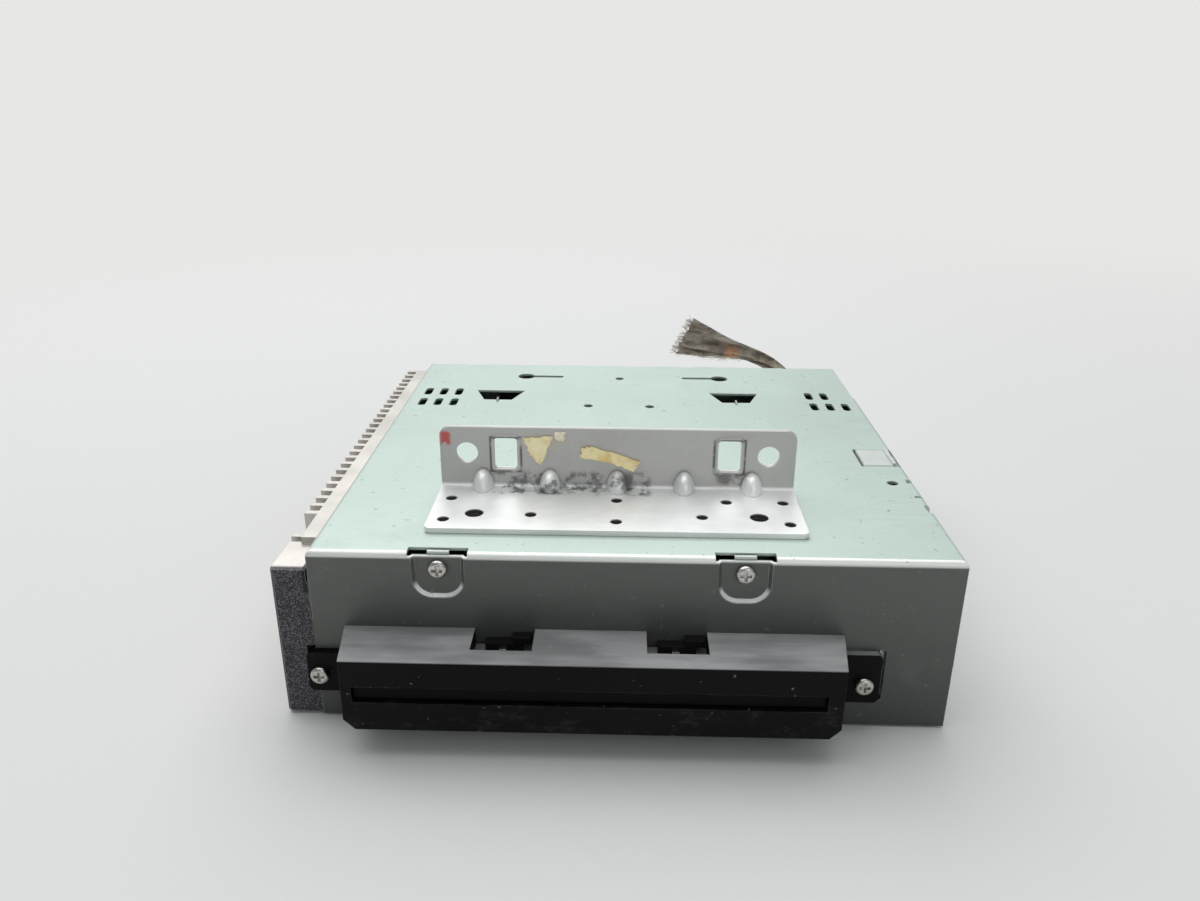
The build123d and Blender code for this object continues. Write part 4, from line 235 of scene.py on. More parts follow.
# Pieces of torn tape on the bracket's flange, as outlines in x and z.
TAPE_CORNER = [(-33.8, 70.7), (-24.7, 71.2), (-26.3, 67.6), (-28.5, 61.7), (-31.8, 64.9)]
TAPE_SCRAP = [(-24.1, 72.5), (-20.8, 72.6), (-21.7, 69.6), (-23.8, 69.9)]
TAPE_STRIP = [(-15.9, 67.8), (-12.9, 68.2), (1.7, 63.5), (-0.1, 60.2), (-6.8, 63.0), (-16.6, 64.5)]

# Each scrap: name, outline, seed, colour and how far its rim curls off.
TAPES = [
    ("tape_corner", TAPE_CORNER, 3, (0.98, 0.90, 0.58), 0.45),
    ("tape_scrap", TAPE_SCRAP, 5, (0.98, 0.96, 0.86), 0.3),
    ("tape_strip", TAPE_STRIP, 9, (0.98, 0.88, 0.52), 0.55),
]
TAPE_RAGGEDNESS = 0.32
TAPE_EDGE_STEPS = 7
TAPE_RAG_UP = 0.8
TAPE_CURL_SEED = 50
TAPE_CURL_LEAST = 0.55
TAPE_CURL_SPREAD = 0.9
TAPE_INNER_RINGS = [(0.86, 0.10), (0.5, 0.06)]
TAPE_GAP = 0.05
TAPE_MIDDLE_GAP = 0.1
TAPE_THICKNESS = 0.07


def at(x, y, z):
    """A place on the case, in millimetres, as a point of the shared frame, in metres."""
    return Vector(((x + SHIFT_X) * MM, (y + SHIFT_Y) * MM, z * MM))


# ------------------------------------------------------------------ finishes
class Finish:
    """A material under construction. Its coordinates are places on the object, in metres."""

    def __init__(self, name, roughness, metallic=0.0):
        self.material = bpy.data.materials.new(name)
        self.material.use_nodes = True
        self.nodes = self.material.node_tree.nodes
        self.links = self.material.node_tree.links
        self.shader = self.nodes["Principled BSDF"]
        self.shader.inputs["Roughness"].default_value = roughness
        self.shader.inputs["Metallic"].default_value = metallic
        self.place = self.nodes.new("ShaderNodeTexCoord").outputs["Object"]
        split = self.nodes.new("ShaderNodeSeparateXYZ")
        self.links.new(self.place, split.inputs[0])
        self.x, self.y, self.z = split.outputs

    def feed(self, node, index, value):
        """Joins a socket or sets a constant."""
        if isinstance(value, bpy.types.NodeSocket):
            self.links.new(value, node.inputs[index])
        elif isinstance(value, (tuple, list)) and len(value) == 3 and node.inputs[index].type == "RGBA":
            node.inputs[index].default_value = (*value, 1.0)
        else:
            node.inputs[index].default_value = value

    def math(self, operation, first, second):
        node = self.nodes.new("ShaderNodeMath")
        node.operation = operation
        self.feed(node, 0, first)
        self.feed(node, 1, second)
        return node.outputs[0]

    def times(self, first, second):
        return self.math("MULTIPLY", first, second)

    def plus(self, first, second):
        return self.math("ADD", first, second)

    def stretched(self, scale):
        """The place, scaled by axis, for a texture that runs along one direction."""
        node = self.nodes.new("ShaderNodeMapping")
        self.links.new(self.place, node.inputs["Vector"])
        node.inputs["Scale"].default_value = scale
        return node.outputs[0]

    def noise(self, scale, detail=3.0, roughness=0.55, stretch=None):
        node = self.nodes.new("ShaderNodeTexNoise")
        self.links.new(self.stretched(stretch) if stretch else self.place, node.inputs["Vector"])
        node.inputs["Scale"].default_value = scale
        node.inputs["Detail"].default_value = detail
        node.inputs["Roughness"].default_value = roughness
        return node.outputs["Fac"]

    def cells(self, scale, stretch=None, feature="F1"):
        node = self.nodes.new("ShaderNodeTexVoronoi")
        node.feature = feature
        self.links.new(self.stretched(stretch) if stretch else self.place, node.inputs["Vector"])
        node.inputs["Scale"].default_value = scale
        return node.outputs["Distance"]

    def window(self, value, low, high, from_value=0.0, to_value=1.0):
        """Maps low..high smoothly to from_value..to_value."""
        node = self.nodes.new("ShaderNodeMapRange")
        node.interpolation_type = "SMOOTHSTEP"
        self.feed(node, 0, value)
        node.inputs[1].default_value = low
        node.inputs[2].default_value = high
        node.inputs[3].default_value = from_value
        node.inputs[4].default_value = to_value
        return node.outputs[0]

    def spots(self, low, high, *noise):
        """Noise between two levels: 0 below the first, 1 above the second."""
        return self.window(self.noise(*noise), low, high)

    def span(self, value, low, high, soft):
        """1 between low and high, 0 outside, with a soft edge. All in metres."""
        rise = self.window(value, low - soft, low + soft)
        fall = self.window(value, high - soft, high + soft, 1.0, 0.0)
        return self.times(rise, fall)

    def region(self, box, soft):
        """1 inside a box between two places on the case, with a soft edge, in millimetres."""
        first = at(*box[0])
        last = at(*box[1])
        across = self.span(self.x, first.x, last.x, soft * MM)
        along = self.span(self.y, first.y, last.y, soft * MM)
        above = self.span(self.z, first.z, last.z, soft * MM)
        return self.times(self.times(across, along), above)

    def blend(self, share, first, second):
        node = self.nodes.new("ShaderNodeMix")
        node.data_type = "RGBA"
        self.feed(node, 0, share)
        self.feed(node, 6, first)
        self.feed(node, 7, second)
        return node.outputs[2]

    def over(self, tone, share, strength, colour):
        """Lays a colour over a tone, by its share of the surface and a strength."""
        return self.blend(self.times(share, strength), tone, colour)

    def facing_up(self, rises=LEVEL_FACE):
        """1 on faces whose normal rises past the second value, 0 on those below the first."""
        node = self.nodes.new("ShaderNodeNewGeometry")
        split = self.nodes.new("ShaderNodeSeparateXYZ")
        self.links.new(node.outputs["Normal"], split.inputs[0])
        return self.window(split.outputs[2], *rises)

    def edges(self, radius):
        """1 near a sharp edge, 0 on flat stretches, from the rounded normal."""
        bevel = self.nodes.new("ShaderNodeBevel")
        bevel.samples = BEVEL_SAMPLES
        bevel.inputs["Radius"].default_value = radius * MM
        geometry = self.nodes.new("ShaderNodeNewGeometry")
        dot = self.nodes.new("ShaderNodeVectorMath")
        dot.operation = "DOT_PRODUCT"
        self.links.new(bevel.outputs[0], dot.inputs[0])
        self.links.new(geometry.outputs["Normal"], dot.inputs[1])
        return self.window(dot.outputs["Value"], 0.85, 0.995, 1.0, 0.0)

    def colour(self, value):
        self.feed(self.shader, self.shader.inputs.find("Base Color"), value)

    def roughness(self, value):
        self.feed(self.shader, self.shader.inputs.find("Roughness"), value)

    def metallic(self, value):
        self.feed(self.shader, self.shader.inputs.find("Metallic"), value)

    def relief(self, height, strength, depth, radius=0.0):
        """Bumps the surface by a height map, over edges that are rounded by a radius in millimetres."""
        bump = self.nodes.new("ShaderNodeBump")
        bump.inputs["Strength"].default_value = strength
        bump.inputs["Distance"].default_value = depth * MM
        self.links.new(height, bump.inputs["Height"])
        if radius > 0:
            bevel = self.nodes.new("ShaderNodeBevel")
            bevel.samples = BEVEL_SAMPLES
            bevel.inputs["Radius"].default_value = radius * MM
            self.links.new(bevel.outputs[0], bump.inputs["Normal"])
        self.links.new(bump.outputs[0], self.shader.inputs["Normal"])


def tint(colour, factor):
    return tuple(min(1.0, part * factor) for part in colour)


def zinc_sheet(name, colour, dark, grain=(1.0, 1.0, 1.0), rough=0.42):
    """Plated sheet: cloudy tone, fine rolling grain, faint smudges and bright worn edges."""
    finish = Finish(name, rough, 0.82)
    cloud = finish.noise(14.0, 4.0, 0.6)
    grain_height = finish.noise(900.0, 3.0, 0.6, grain)
    smudge = finish.spots(0.56, 0.72, 34.0, 5.0, 0.65)
    tone = finish.blend(finish.window(cloud, 0.3, 0.7), tint(colour, 0.94), tint(colour, 1.05))
    tone = finish.over(tone, smudge, 0.22, dark)
    specks = finish.spots(0.70, 0.76, 620.0, 2.0, 0.5)
    tone = finish.over(tone, specks, 0.35, tint(dark, 0.7))
    tone = finish.over(tone, finish.edges(0.35), 0.5, tint(colour, 1.25))
    finish.colour(tone)
    uneven = finish.times(finish.window(grain_height, 0.3, 0.7), 0.12)
    finish.roughness(finish.plus(finish.plus(uneven, rough - 0.06), finish.times(smudge, 0.1)))
    finish.relief(grain_height, 0.10, 0.05, 0.25)
    return finish.material


def cover_finish():
    """The cover: mint-tinted zinc, duller on the front panel, dusty on top; painted shade over the front
    panel, darker low down, painted shade under the bracket, and painted highlights on the pocket walls and
    along the top fold.
    """
    colour = COVER_COLOUR
    finish = Finish("cover_zinc", 0.4, 0.45)
    cloud = finish.noise(9.0, 4.0, 0.6)
    grain = finish.noise(700.0, 3.0, 0.6, (0.12, 1.0, 1.0))
    upright_grain = finish.noise(700.0, 3.0, 0.6, (0.05, 1.0, 1.6))
    tone = finish.blend(finish.window(cloud, 0.3, 0.7), tint(colour, 0.96), tint(colour, 1.05))
    # Painted shade over the front panel: a dark tone that gets lighter towards the top.
    front = finish.region(FRONT_PANEL, 0.3)
    shade = finish.blend(finish.window(finish.z, 0.0, 0.05), FRONT_SHADE_LOW_COLOUR, FRONT_SHADE_HIGH_COLOUR)
    tone = finish.over(tone, front, 0.95, shade)
    # Painted shade on the cover under the bracket.
    painted_shade_under_bracket = finish.region(UNDER_BRACKET, 0.8)
    tone = finish.over(tone, painted_shade_under_bracket, 0.9, UNDER_BRACKET_SHADE_COLOUR)
    # Painted highlight on the up-facing pocket walls, where the overhead light catches them.
    painted_pocket_highlight = finish.times(finish.region(POCKET_WALLS, 0.1), finish.facing_up(LEANING_WALL))
    tone = finish.over(tone, painted_pocket_highlight, 0.9, POCKET_HIGHLIGHT_COLOUR)
    # Painted highlight along the top fold of the front panel.
    painted_fold_highlight = finish.region(TOP_FOLD, 0.35)
    tone = finish.over(tone, painted_fold_highlight, 0.75, FOLD_HIGHLIGHT_COLOUR)
    smudge = finish.spots(0.55, 0.75, 26.0, 6.0, 0.7)
    tone = finish.over(tone, smudge, 0.16, SMUDGE_COLOUR)
    specks = finish.spots(0.69, 0.74, 430.0, 2.0, 0.5)
    tone = finish.over(tone, specks, 0.5, SPECK_COLOUR)
    dust = finish.spots(0.62, 0.80, 300.0, 4.0, 0.7)
    dust = finish.times(dust, finish.facing_up())
    tone = finish.over(tone, dust, 0.25, DUST_COLOUR)
    scratch = finish.spots(0.735, 0.75, 60.0, 1.0, 0.4, (14.0, 1.2, 1.0))
    scratch = finish.times(scratch, finish.facing_up())
    tone = finish.over(tone, scratch, 0.18, tint(colour, 1.3))
    worn = finish.times(finish.edges(0.3), finish.spots(0.35, 0.6, 160.0))
    tone = finish.over(tone, worn, 0.7, WORN_COLOUR)
    finish.colour(tone)
    rough = finish.plus(finish.times(finish.window(grain, 0.3, 0.7), 0.1), 0.38)
    rough = finish.plus(rough, finish.times(smudge, 0.12))
    finish.roughness(rough)
    height = finish.plus(finish.times(grain, 0.5), finish.times(upright_grain, 0.5))
    finish.relief(height, 0.12, 0.05, 0.25)
    return finish.material


def rim_box(middle, inset):
    """The box round a window's rim on the flange, drawn in by an inset."""
    return ((middle - RIM_HALF_WIDTH + inset, RIM_FRONT_Y, RIM_LOW_Z + inset),
            (middle + RIM_HALF_WIDTH - inset, RIM_BACK_Y, RIM_HIGH_Z - inset))


def bracket_finish():
    """The bracket: greyer plated steel, hand-worn, with a dab of red paint, dark patches at the bend, and
    painted shade on its upright flange and in its holes and underside.
    """
    colour = BRACKET_COLOUR
    finish = Finish("bracket_steel", 0.4, 0.45)
    cloud = finish.noise(40.0, 4.0, 0.6)
    grain = finish.noise(1100.0, 3.0, 0.6, (0.2, 1.0, 1.0))
    tone = finish.blend(finish.window(cloud, 0.3, 0.7), tint(colour, 0.9), tint(colour, 1.08))
    # Painted shade on the upright flange, which is darker than the up-facing base.
    flange = finish.region(FLANGE, 0.5)
    tone = finish.over(tone, flange, 0.9, FLANGE_SHADE_COLOUR)
    # Painted shade in the bracket's holes and on its underside.
    painted_hollow_shade = finish.region(BRACKET_HOLLOW, 0.08)
    tone = finish.over(tone, painted_hollow_shade, 0.9, HOLLOW_SHADE_COLOUR)
    # Dark spots along the bend, then dark patches low on the flange beside it.
    bend = finish.region(BRACKET_BEND, 1.2)
    bend_dark_spots = finish.times(bend, finish.spots(0.47, 0.60, 190.0, 4.0, 0.65))
    tone = finish.over(tone, bend_dark_spots, 0.85, BEND_DARK_COLOUR)
    patch = finish.region(BEND_PATCH, 0.8)
    patch = finish.times(patch, finish.spots(0.38, 0.55, 160.0, 4.0, 0.7))
    tone = finish.over(tone, patch, 0.75, PATCH_COLOUR)
    for middle in RIM_MIDDLES:
        outer = finish.region(rim_box(middle, 0.0), RIM_SOFTNESS)
        inner = finish.region(rim_box(middle, RIM_LINE), RIM_SOFTNESS)
        outline = finish.times(outer, finish.math("SUBTRACT", 1.0, inner))
        outline = finish.times(outline, finish.spots(0.3, 0.5, 210.0, 3.0, 0.6))
        tone = finish.over(tone, outline, 0.8, RIM_COLOUR)
    glue = finish.region(FLANGE_GLUE, 1.5)
    glue = finish.times(glue, finish.spots(0.5, 0.66, 160.0, 5.0, 0.75, (1, 1, 2.6)))
    tone = finish.over(tone, glue, 0.7, GLUE_COLOUR)
    stain = finish.region(FLANGE_STAIN, 1.0)
    stain = finish.times(stain, finish.spots(0.5, 0.75, 58.0, 5.0, 0.7))
    tone = finish.over(tone, stain, 0.22, STAIN_COLOUR)
    dab = finish.region(PAINT_DAB, 0.6)
    dab = finish.times(dab, finish.spots(0.28, 0.42, 420.0, 2.0, 0.5))
    tone = finish.blend(dab, tone, PAINT_COLOUR)
    tone = finish.over(tone, finish.edges(0.4), 0.6, BARE_STEEL_COLOUR)
    finish.colour(tone)
    finish.metallic(finish.window(finish.math("MAXIMUM", dab, bend_dark_spots), 0.1, 0.9, 0.45, 0.0))
    rough = finish.plus(finish.times(finish.window(grain, 0.3, 0.7), 0.12), 0.34)
    finish.roughness(rough)
    finish.relief(grain, 0.12, 0.05, 0.3)
    return finish.material


def sink_finish():
    """The heat sink: warm dull aluminium, coarse cast skin on its front end, sawn lines on the fins."""
    finish = Finish("sink_aluminium", 0.5, 0.9)
    cloud = finish.spots(0.3, 0.7, 55.0, 4.0, 0.6)
    tone = finish.blend(cloud, tint(SINK_COLOUR, 0.88), tint(SINK_COLOUR, 1.08))
    sawn = finish.noise(500.0, 2.0, 0.5, (1.0, 1.0, 0.06))
    front = finish.region(SINK_FRONT, 0.8)
    grit = finish.noise(2100.0, 3.0, 0.7)
    grit_tone = finish.window(grit, 0.46, 0.66)
    cast = finish.blend(grit_tone, CAST_DARK_COLOUR, CAST_PALE_COLOUR)
    tone = finish.blend(front, tone, cast)
    seam = finish.region(SINK_SEAM, 0.12)
    tone = finish.over(tone, seam, 0.9, SEAM_COLOUR)
    tone = finish.over(tone, finish.edges(0.3), 0.5, FIN_EDGE_COLOUR)
    finish.colour(tone)
    finish.roughness(finish.plus(finish.times(front, 0.16), 0.44))
    grit_height = finish.times(grit, finish.plus(front, 0.25))
    height = finish.plus(grit_height, finish.times(sawn, 0.6))
    finish.relief(height, 0.35, 0.12, 0.25)
    return finish.material


def moulded(name, colour, rough=0.5, grain=1500.0, dust=0.0, gloss=0.5):
    """Moulded plastic: fine spark grain, slight tone drift, paler rubbed edges and settled dust."""
    finish = Finish(name, rough)
    finish.shader.inputs["Specular IOR Level"].default_value = gloss
    cloud = finish.spots(0.3, 0.7, 22.0, 4.0, 0.6)
    spark = finish.noise(grain, 2.0, 0.6)
    tone = finish.blend(cloud, tint(colour, 0.85), tint(colour, 1.15))
    tone = finish.over(tone, finish.edges(0.35), 0.3, tint(colour, 1.9))
    if dust > 0:
        fall = finish.spots(0.50, 0.78, 240.0, 6.0, 0.75)
        fall = finish.times(fall, finish.plus(finish.facing_up(), 0.35))
        tone = finish.over(tone, fall, dust, (0.38, 0.37, 0.35))
    finish.colour(tone)
    finish.roughness(finish.plus(finish.times(finish.window(spark, 0.3, 0.7), 0.14), rough - 0.07))
    finish.relief(spark, 0.22, 0.05, 0.3)
    return finish.material


def mouth_finish():
    """The mouth: near-black moulding, with a painted highlight of grey on its up-facing top, and dust
    scuffs low on its front.
    """
    colour = MOUTH_COLOUR
    finish = Finish("mouth_plastic", 0.5)
    finish.shader.inputs["Specular IOR Level"].default_value = 0.1
    cloud = finish.spots(0.3, 0.7, 18.0, 4.0, 0.6)
    spark = finish.noise(1600.0, 2.0, 0.6)
    flow = finish.noise(30.0, 3.0, 0.55, (1.0, 4.0, 1.0))
    tone = finish.blend(cloud, tint(colour, 0.8), tint(colour, 1.25))
    # bloom: a painted highlight, grey on the up-facing top where the overhead light falls.
    bloom = finish.times(finish.facing_up(), finish.window(flow, 0.3, 0.7, 0.55, 1.0))
    bloom = finish.times(bloom, finish.window(finish.z, 0.024, 0.0255))
    tone = finish.over(tone, bloom, 0.9, MOUTH_TOP_SHEEN_COLOUR)
    low = finish.region(MOUTH_LOW_FRONT, 1.6)
    scuff = finish.spots(0.50, 0.72, 120.0, 6.0, 0.75, (0.8, 1.0, 1.5))
    tone = finish.over(tone, finish.times(low, scuff), 0.10, MOUTH_SCUFF_COLOUR)
    specks = finish.spots(0.70, 0.75, 520.0, 2.0, 0.5)
    tone = finish.over(tone, specks, 0.30, MOUTH_SPECK_COLOUR)
    rub = finish.times(finish.edges(0.4), finish.spots(0.35, 0.65, 90.0))
    tone = finish.over(tone, rub, 0.5, MOUTH_RUB_COLOUR)
    finish.colour(tone)
    finish.roughness(finish.plus(finish.times(finish.window(spark, 0.3, 0.7), 0.16), 0.40))
    finish.relief(spark, 0.25, 0.05, 0.35)
    return finish.material


def bright_screw():
    """Nickel-plated screw heads: mottled plating with patches of grime."""
    finish = Finish("nickel_screw", 0.26, 1.0)
    rings = finish.noise(900.0, 2.0, 0.5)
    tone = finish.blend(finish.window(rings, 0.3, 0.7), (0.42, 0.41, 0.38), (0.60, 0.58, 0.55))
    grime = finish.spots(0.55, 0.7, 300.0, 4.0, 0.7)
    tone = finish.over(tone, grime, 0.35, (0.12, 0.11, 0.10))
    finish.colour(tone)
    finish.roughness(finish.plus(finish.times(grime, 0.2), 0.22))
    finish.relief(rings, 0.12, 0.04, 0.2)
    return finish.material


def machined(name, colour, rough=0.25, axis=(1.0, 1.0, 1.0), metallic=1.0):
    """Turned or drawn metal: fine lines and slight tarnish."""
    finish = Finish(name, rough, metallic)
    lines = finish.noise(2400.0, 2.0, 0.5, axis)
    tarnish = finish.spots(0.45, 0.75, 120.0, 4.0, 0.65)
    tone = finish.blend(finish.window(lines, 0.3, 0.7), tint(colour, 0.9), tint(colour, 1.06))
    tone = finish.over(tone, tarnish, 0.3, tint(colour, 0.55))
    finish.colour(tone)
    finish.roughness(finish.plus(finish.times(tarnish, 0.14), rough))
    finish.relief(lines, 0.14, 0.03, 0.15)
    return finish.material


def rubber(name, colour):
    """Ground rubber: matt, with a fine nap and grey bloom."""
    finish = Finish(name, 0.75)
    finish.shader.inputs["Specular IOR Level"].default_value = 0.3
    nap = finish.noise(1300.0, 4.0, 0.7)
    bloom = finish.spots(0.4, 0.75, 70.0, 4.0, 0.6)
    tone = finish.blend(finish.times(bloom, 0.5), colour, tint(colour, 2.4))
    finish.colour(tone)
    finish.roughness(finish.plus(finish.times(bloom, 0.12), 0.68))
    finish.relief(nap, 0.3, 0.06, 0.2)
    return finish.material


def circuit_board():
    """Solder-masked laminate: copper tracks under green, and tinned pads."""
    finish = Finish("board_laminate", 0.32)
    tracks = finish.cells(260.0, (1.0, 0.25, 1.0), "DISTANCE_TO_EDGE")
    track = finish.window(tracks, 0.10, 0.16, 1.0, 0.0)
    pads = finish.window(finish.cells(330.0), 0.16, 0.20, 1.0, 0.0)
    tone = finish.blend(track, (0.018, 0.11, 0.045), (0.035, 0.20, 0.075))
    tone = finish.over(tone, pads, 0.9, (0.72, 0.72, 0.68))
    cloud = finish.spots(0.4, 0.7, 30.0)
    tone = finish.over(tone, cloud, 0.15, (0.01, 0.05, 0.02))
    finish.colour(tone)
    finish.metallic(finish.times(pads, 0.9))
    finish.roughness(finish.plus(finish.times(pads, 0.1), 0.28))
    height = finish.plus(finish.times(track, 0.5), pads)
    finish.relief(height, 0.4, 0.04)
    return finish.material


def sleeve():
    """Shrunk plastic sleeve of a capacitor: glossy, with fine wrinkles."""
    finish = Finish("capacitor_sleeve", 0.22)
    wrinkle = finish.noise(300.0, 4.0, 0.6, (1.0, 1.0, 0.3))
    tone = finish.blend(finish.window(wrinkle, 0.35, 0.7), (0.012, 0.016, 0.06), (0.03, 0.04, 0.12))
    finish.colour(tone)
    finish.roughness(finish.window(wrinkle, 0.3, 0.7, 0.18, 0.3))
    finish.relief(wrinkle, 0.2, 0.05, 0.2)
    return finish.material


def lens():
    """A clear coated lens."""
    finish = Finish("pickup_glass", 0.03)
    finish.shader.inputs["Transmission Weight"].default_value = 0.85
    finish.shader.inputs["IOR"].default_value = 1.5
    coat = finish.noise(200.0, 2.0)
    finish.colour(finish.blend(coat, (0.42, 0.50, 0.78), (0.55, 0.45, 0.75)))
    finish.relief(coat, 0.02, 0.01)
    return finish.material


def braid_finish():
    """Tarnished copper braid: brown strands with grey corrosion and bright copper where rubbed."""
    finish = Finish("braid_copper", 0.55, 0.55)
    fine = finish.noise(2600.0, 3.0, 0.6)
    patches = finish.spots(0.35, 0.65, 150.0, 4.0, 0.65)
    tone = finish.blend(patches, (0.22, 0.16, 0.12), (0.52, 0.46, 0.38))
    tone = finish.blend(finish.window(fine, 0.45, 0.7, 0.0, 0.6), tone, (0.74, 0.68, 0.58))
    # Dark streaks along the strap: painted shade of its pleats.
    pleat_shade_streak = finish.spots(0.50, 0.64, 170.0, 4.0, 0.6, (0.3, 1.0, 1.8))
    tone = finish.over(tone, pleat_shade_streak, 0.75, (0.12, 0.085, 0.065))
    spot = finish.region(STRAP_RUBBED, 1.6)
    spot = finish.times(spot, finish.spots(0.30, 0.46, 420.0, 3.0))
    tone = finish.over(tone, spot, 0.8, (0.78, 0.42, 0.24))
    finish.colour(tone)
    finish.metallic(finish.window(patches, 0.0, 1.0, 0.3, 0.1))
    finish.relief(fine, 0.4, 0.06)
    return finish.material


def fibre_finish():
    """Loose ends of the braid, paler than the rest."""
    finish = Finish("braid_fibre", 0.5, 0.4)
    fine = finish.noise(900.0, 2.0)
    finish.colour(finish.blend(finish.window(fine, 0.35, 0.65), (0.34, 0.30, 0.24), (0.62, 0.60, 0.52)))
    finish.relief(fine, 0.2, 0.03)
    return finish.material


def tape_finish(name, colour):
    """Old masking tape: creped and yellowed."""
    finish = Finish(name, 0.7)
    crepe = finish.noise(420.0, 4.0, 0.7, (0.35, 1.0, 1.6))
    stain = finish.spots(0.4, 0.65, 130.0, 4.0, 0.6)
    tone = finish.blend(stain, colour, (colour[0] * 0.84, colour[1] * 0.70, colour[2] * 0.48))
    tone = finish.blend(finish.window(crepe, 0.5, 0.7, 0.0, 0.35), tone, tint(colour, 1.25))
    finish.colour(tone)
    finish.roughness(finish.window(crepe, 0.3, 0.7, 0.55, 0.8))
    finish.relief(crepe, 0.5, 0.12)
    return finish.material


def floor_finish():
    """A plain pale floor that takes the object's shadow and fades into the background further out."""
    finish = Finish("pale_floor", 0.85)
    finish.shader.inputs["Specular IOR Level"].default_value = 0.1
    finish.colour(finish.blend(finish.noise(3.0, 2.0), FLOOR_COLOUR, tint(FLOOR_COLOUR, 1.03)))
    squares = finish.plus(finish.math("POWER", finish.x, 2.0), finish.math("POWER", finish.y, 2.0))
    far = finish.math("POWER", squares, 0.5)
    glow = finish.nodes.new("ShaderNodeEmission")
    glow.inputs["Color"].default_value = (*BACKGROUND_COLOUR, 1.0)
    mix = finish.nodes.new("ShaderNodeMixShader")
    finish.links.new(finish.window(far, FLOOR_FADE_START, FLOOR_FADE_END), mix.inputs[0])
    finish.links.new(finish.shader.outputs[0], mix.inputs[1])
    finish.links.new(glow.outputs[0], mix.inputs[2])
    finish.links.new(mix.outputs[0], finish.nodes["Material Output"].inputs["Surface"])
    return finish.material


FINISHES = {
    "zinc_sheet": lambda: zinc_sheet("pan_zinc", (0.56, 0.60, 0.57), (0.28, 0.28, 0.26)),
    "bright_screws": bright_screw,
    "black_moulding": lambda: moulded("flap_plastic", (0.003, 0.003, 0.003), 0.6, gloss=0.1),
    "white_moulding": lambda: moulded("clip_plastic", (0.60, 0.63, 0.60), 0.4, 900.0, 0.2),
    "frame_sheet": lambda: zinc_sheet("frame_zinc", (0.52, 0.54, 0.53), (0.25, 0.25, 0.24), (0.1, 1, 1)),
    "damper_rubber": lambda: rubber("damper_rubber", (0.02, 0.02, 0.022)),
    "spring_steel": lambda: machined("spring_steel", (0.74, 0.73, 0.70), 0.22),
    "board_green": circuit_board,
    "package_black": lambda: moulded("package_epoxy", (0.018, 0.018, 0.018), 0.6, 2200.0, 0.2),
    "capacitor_sleeve": sleeve,
    "connector_moulding": lambda: moulded("connector_nylon", (0.03, 0.03, 0.032), 0.45, 1200.0, 0.25),
    "tinned_lug": lambda: machined("tinned_copper", (0.62, 0.54, 0.44), 0.35),
    "steel_pins": lambda: machined("ground_steel", (0.70, 0.70, 0.70), 0.18, (1.0, 1.0, 0.1)),
    "roller_rubber": lambda: rubber("roller_rubber", (0.022, 0.022, 0.022)),
    "gear_white": lambda: moulded("gear_acetal", (0.70, 0.69, 0.64), 0.35, 1000.0, 0.1),
    "bush_bronze": lambda: machined("sintered_bronze", (0.55, 0.36, 0.18), 0.45),
    "pinion_brass": lambda: machined("cut_brass", (0.74, 0.56, 0.26), 0.28),
    "motor_can": lambda: machined("motor_can", (0.62, 0.62, 0.61), 0.3, (0.2, 1.0, 1.0)),
    "guide_black": lambda: moulded("guide_plastic", (0.03, 0.03, 0.033), 0.45, 1400.0, 0.15),
    "tray_grey": lambda: moulded("tray_plastic", (0.09, 0.09, 0.095), 0.42, 1400.0, 0.15),
    "cam_steel": lambda: zinc_sheet("stamped_steel", (0.50, 0.50, 0.49), (0.22, 0.22, 0.21), (0.1, 1, 1)),
    "sled_metal": lambda: machined("sled_zinc", (0.50, 0.50, 0.52), 0.42),
    "lens_glass": lens,
}

NODE_FINISHES = {"top_cover": cover_finish, "mount_bracket": bracket_finish, "heat_sink": sink_finish,
                 "mouth_housing": mouth_finish}


def dress_nodes(frame):
    """Gives every node its finish: its own, or that of its slot. The woven strap replaces its solid."""
    made = {}
    for part in frame["record"]["subparts"]:
        name = part["node"]
        if name == "ground_strap":
            continue
        key = name if name in NODE_FINISHES else part["material_slot"]
        if key not in made:
            made[key] = (NODE_FINISHES.get(name) or FINISHES[part["material_slot"]])()
        node = frame["nodes"][name]
        for place in range(max(1, len(node.material_slots))):
            if not node.material_slots:
                node.data.materials.append(made[key])
            node.material_slots[place].material = made[key]


# ------------------------------------------------------------------ pieces
def mesh_piece(name, points, faces, material, body, slot_name):
    """A new piece from points in metres, which rides on a body."""
    mesh = bpy.data.meshes.new(name)
    mesh.from_pydata([tuple(point) for point in points], [], faces)
    mesh.update()
    piece = bpy.data.objects.new(name, mesh)
    bpy.context.scene.collection.objects.link(piece)
    mesh.materials.append(material)
    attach(piece, body)
    return piece


def torn_outline(corners, seed, roughness, steps):
    """An outline whose straight stretches are broken into a ragged, torn edge."""
    rng = random.Random(seed)
    ragged = []
    for start, end in zip(corners, corners[1:] + corners[:1]):
        for step in range(steps):
            share = step / steps
            x = start[0] + (end[0] - start[0]) * share
            z = start[1] + (end[1] - start[1]) * share
            wobble = 0.0 if step == 0 else rng.uniform(-roughness, roughness)
            ragged.append((x + wobble, z + rng.uniform(-roughness, roughness) * TAPE_RAG_UP))
    return ragged


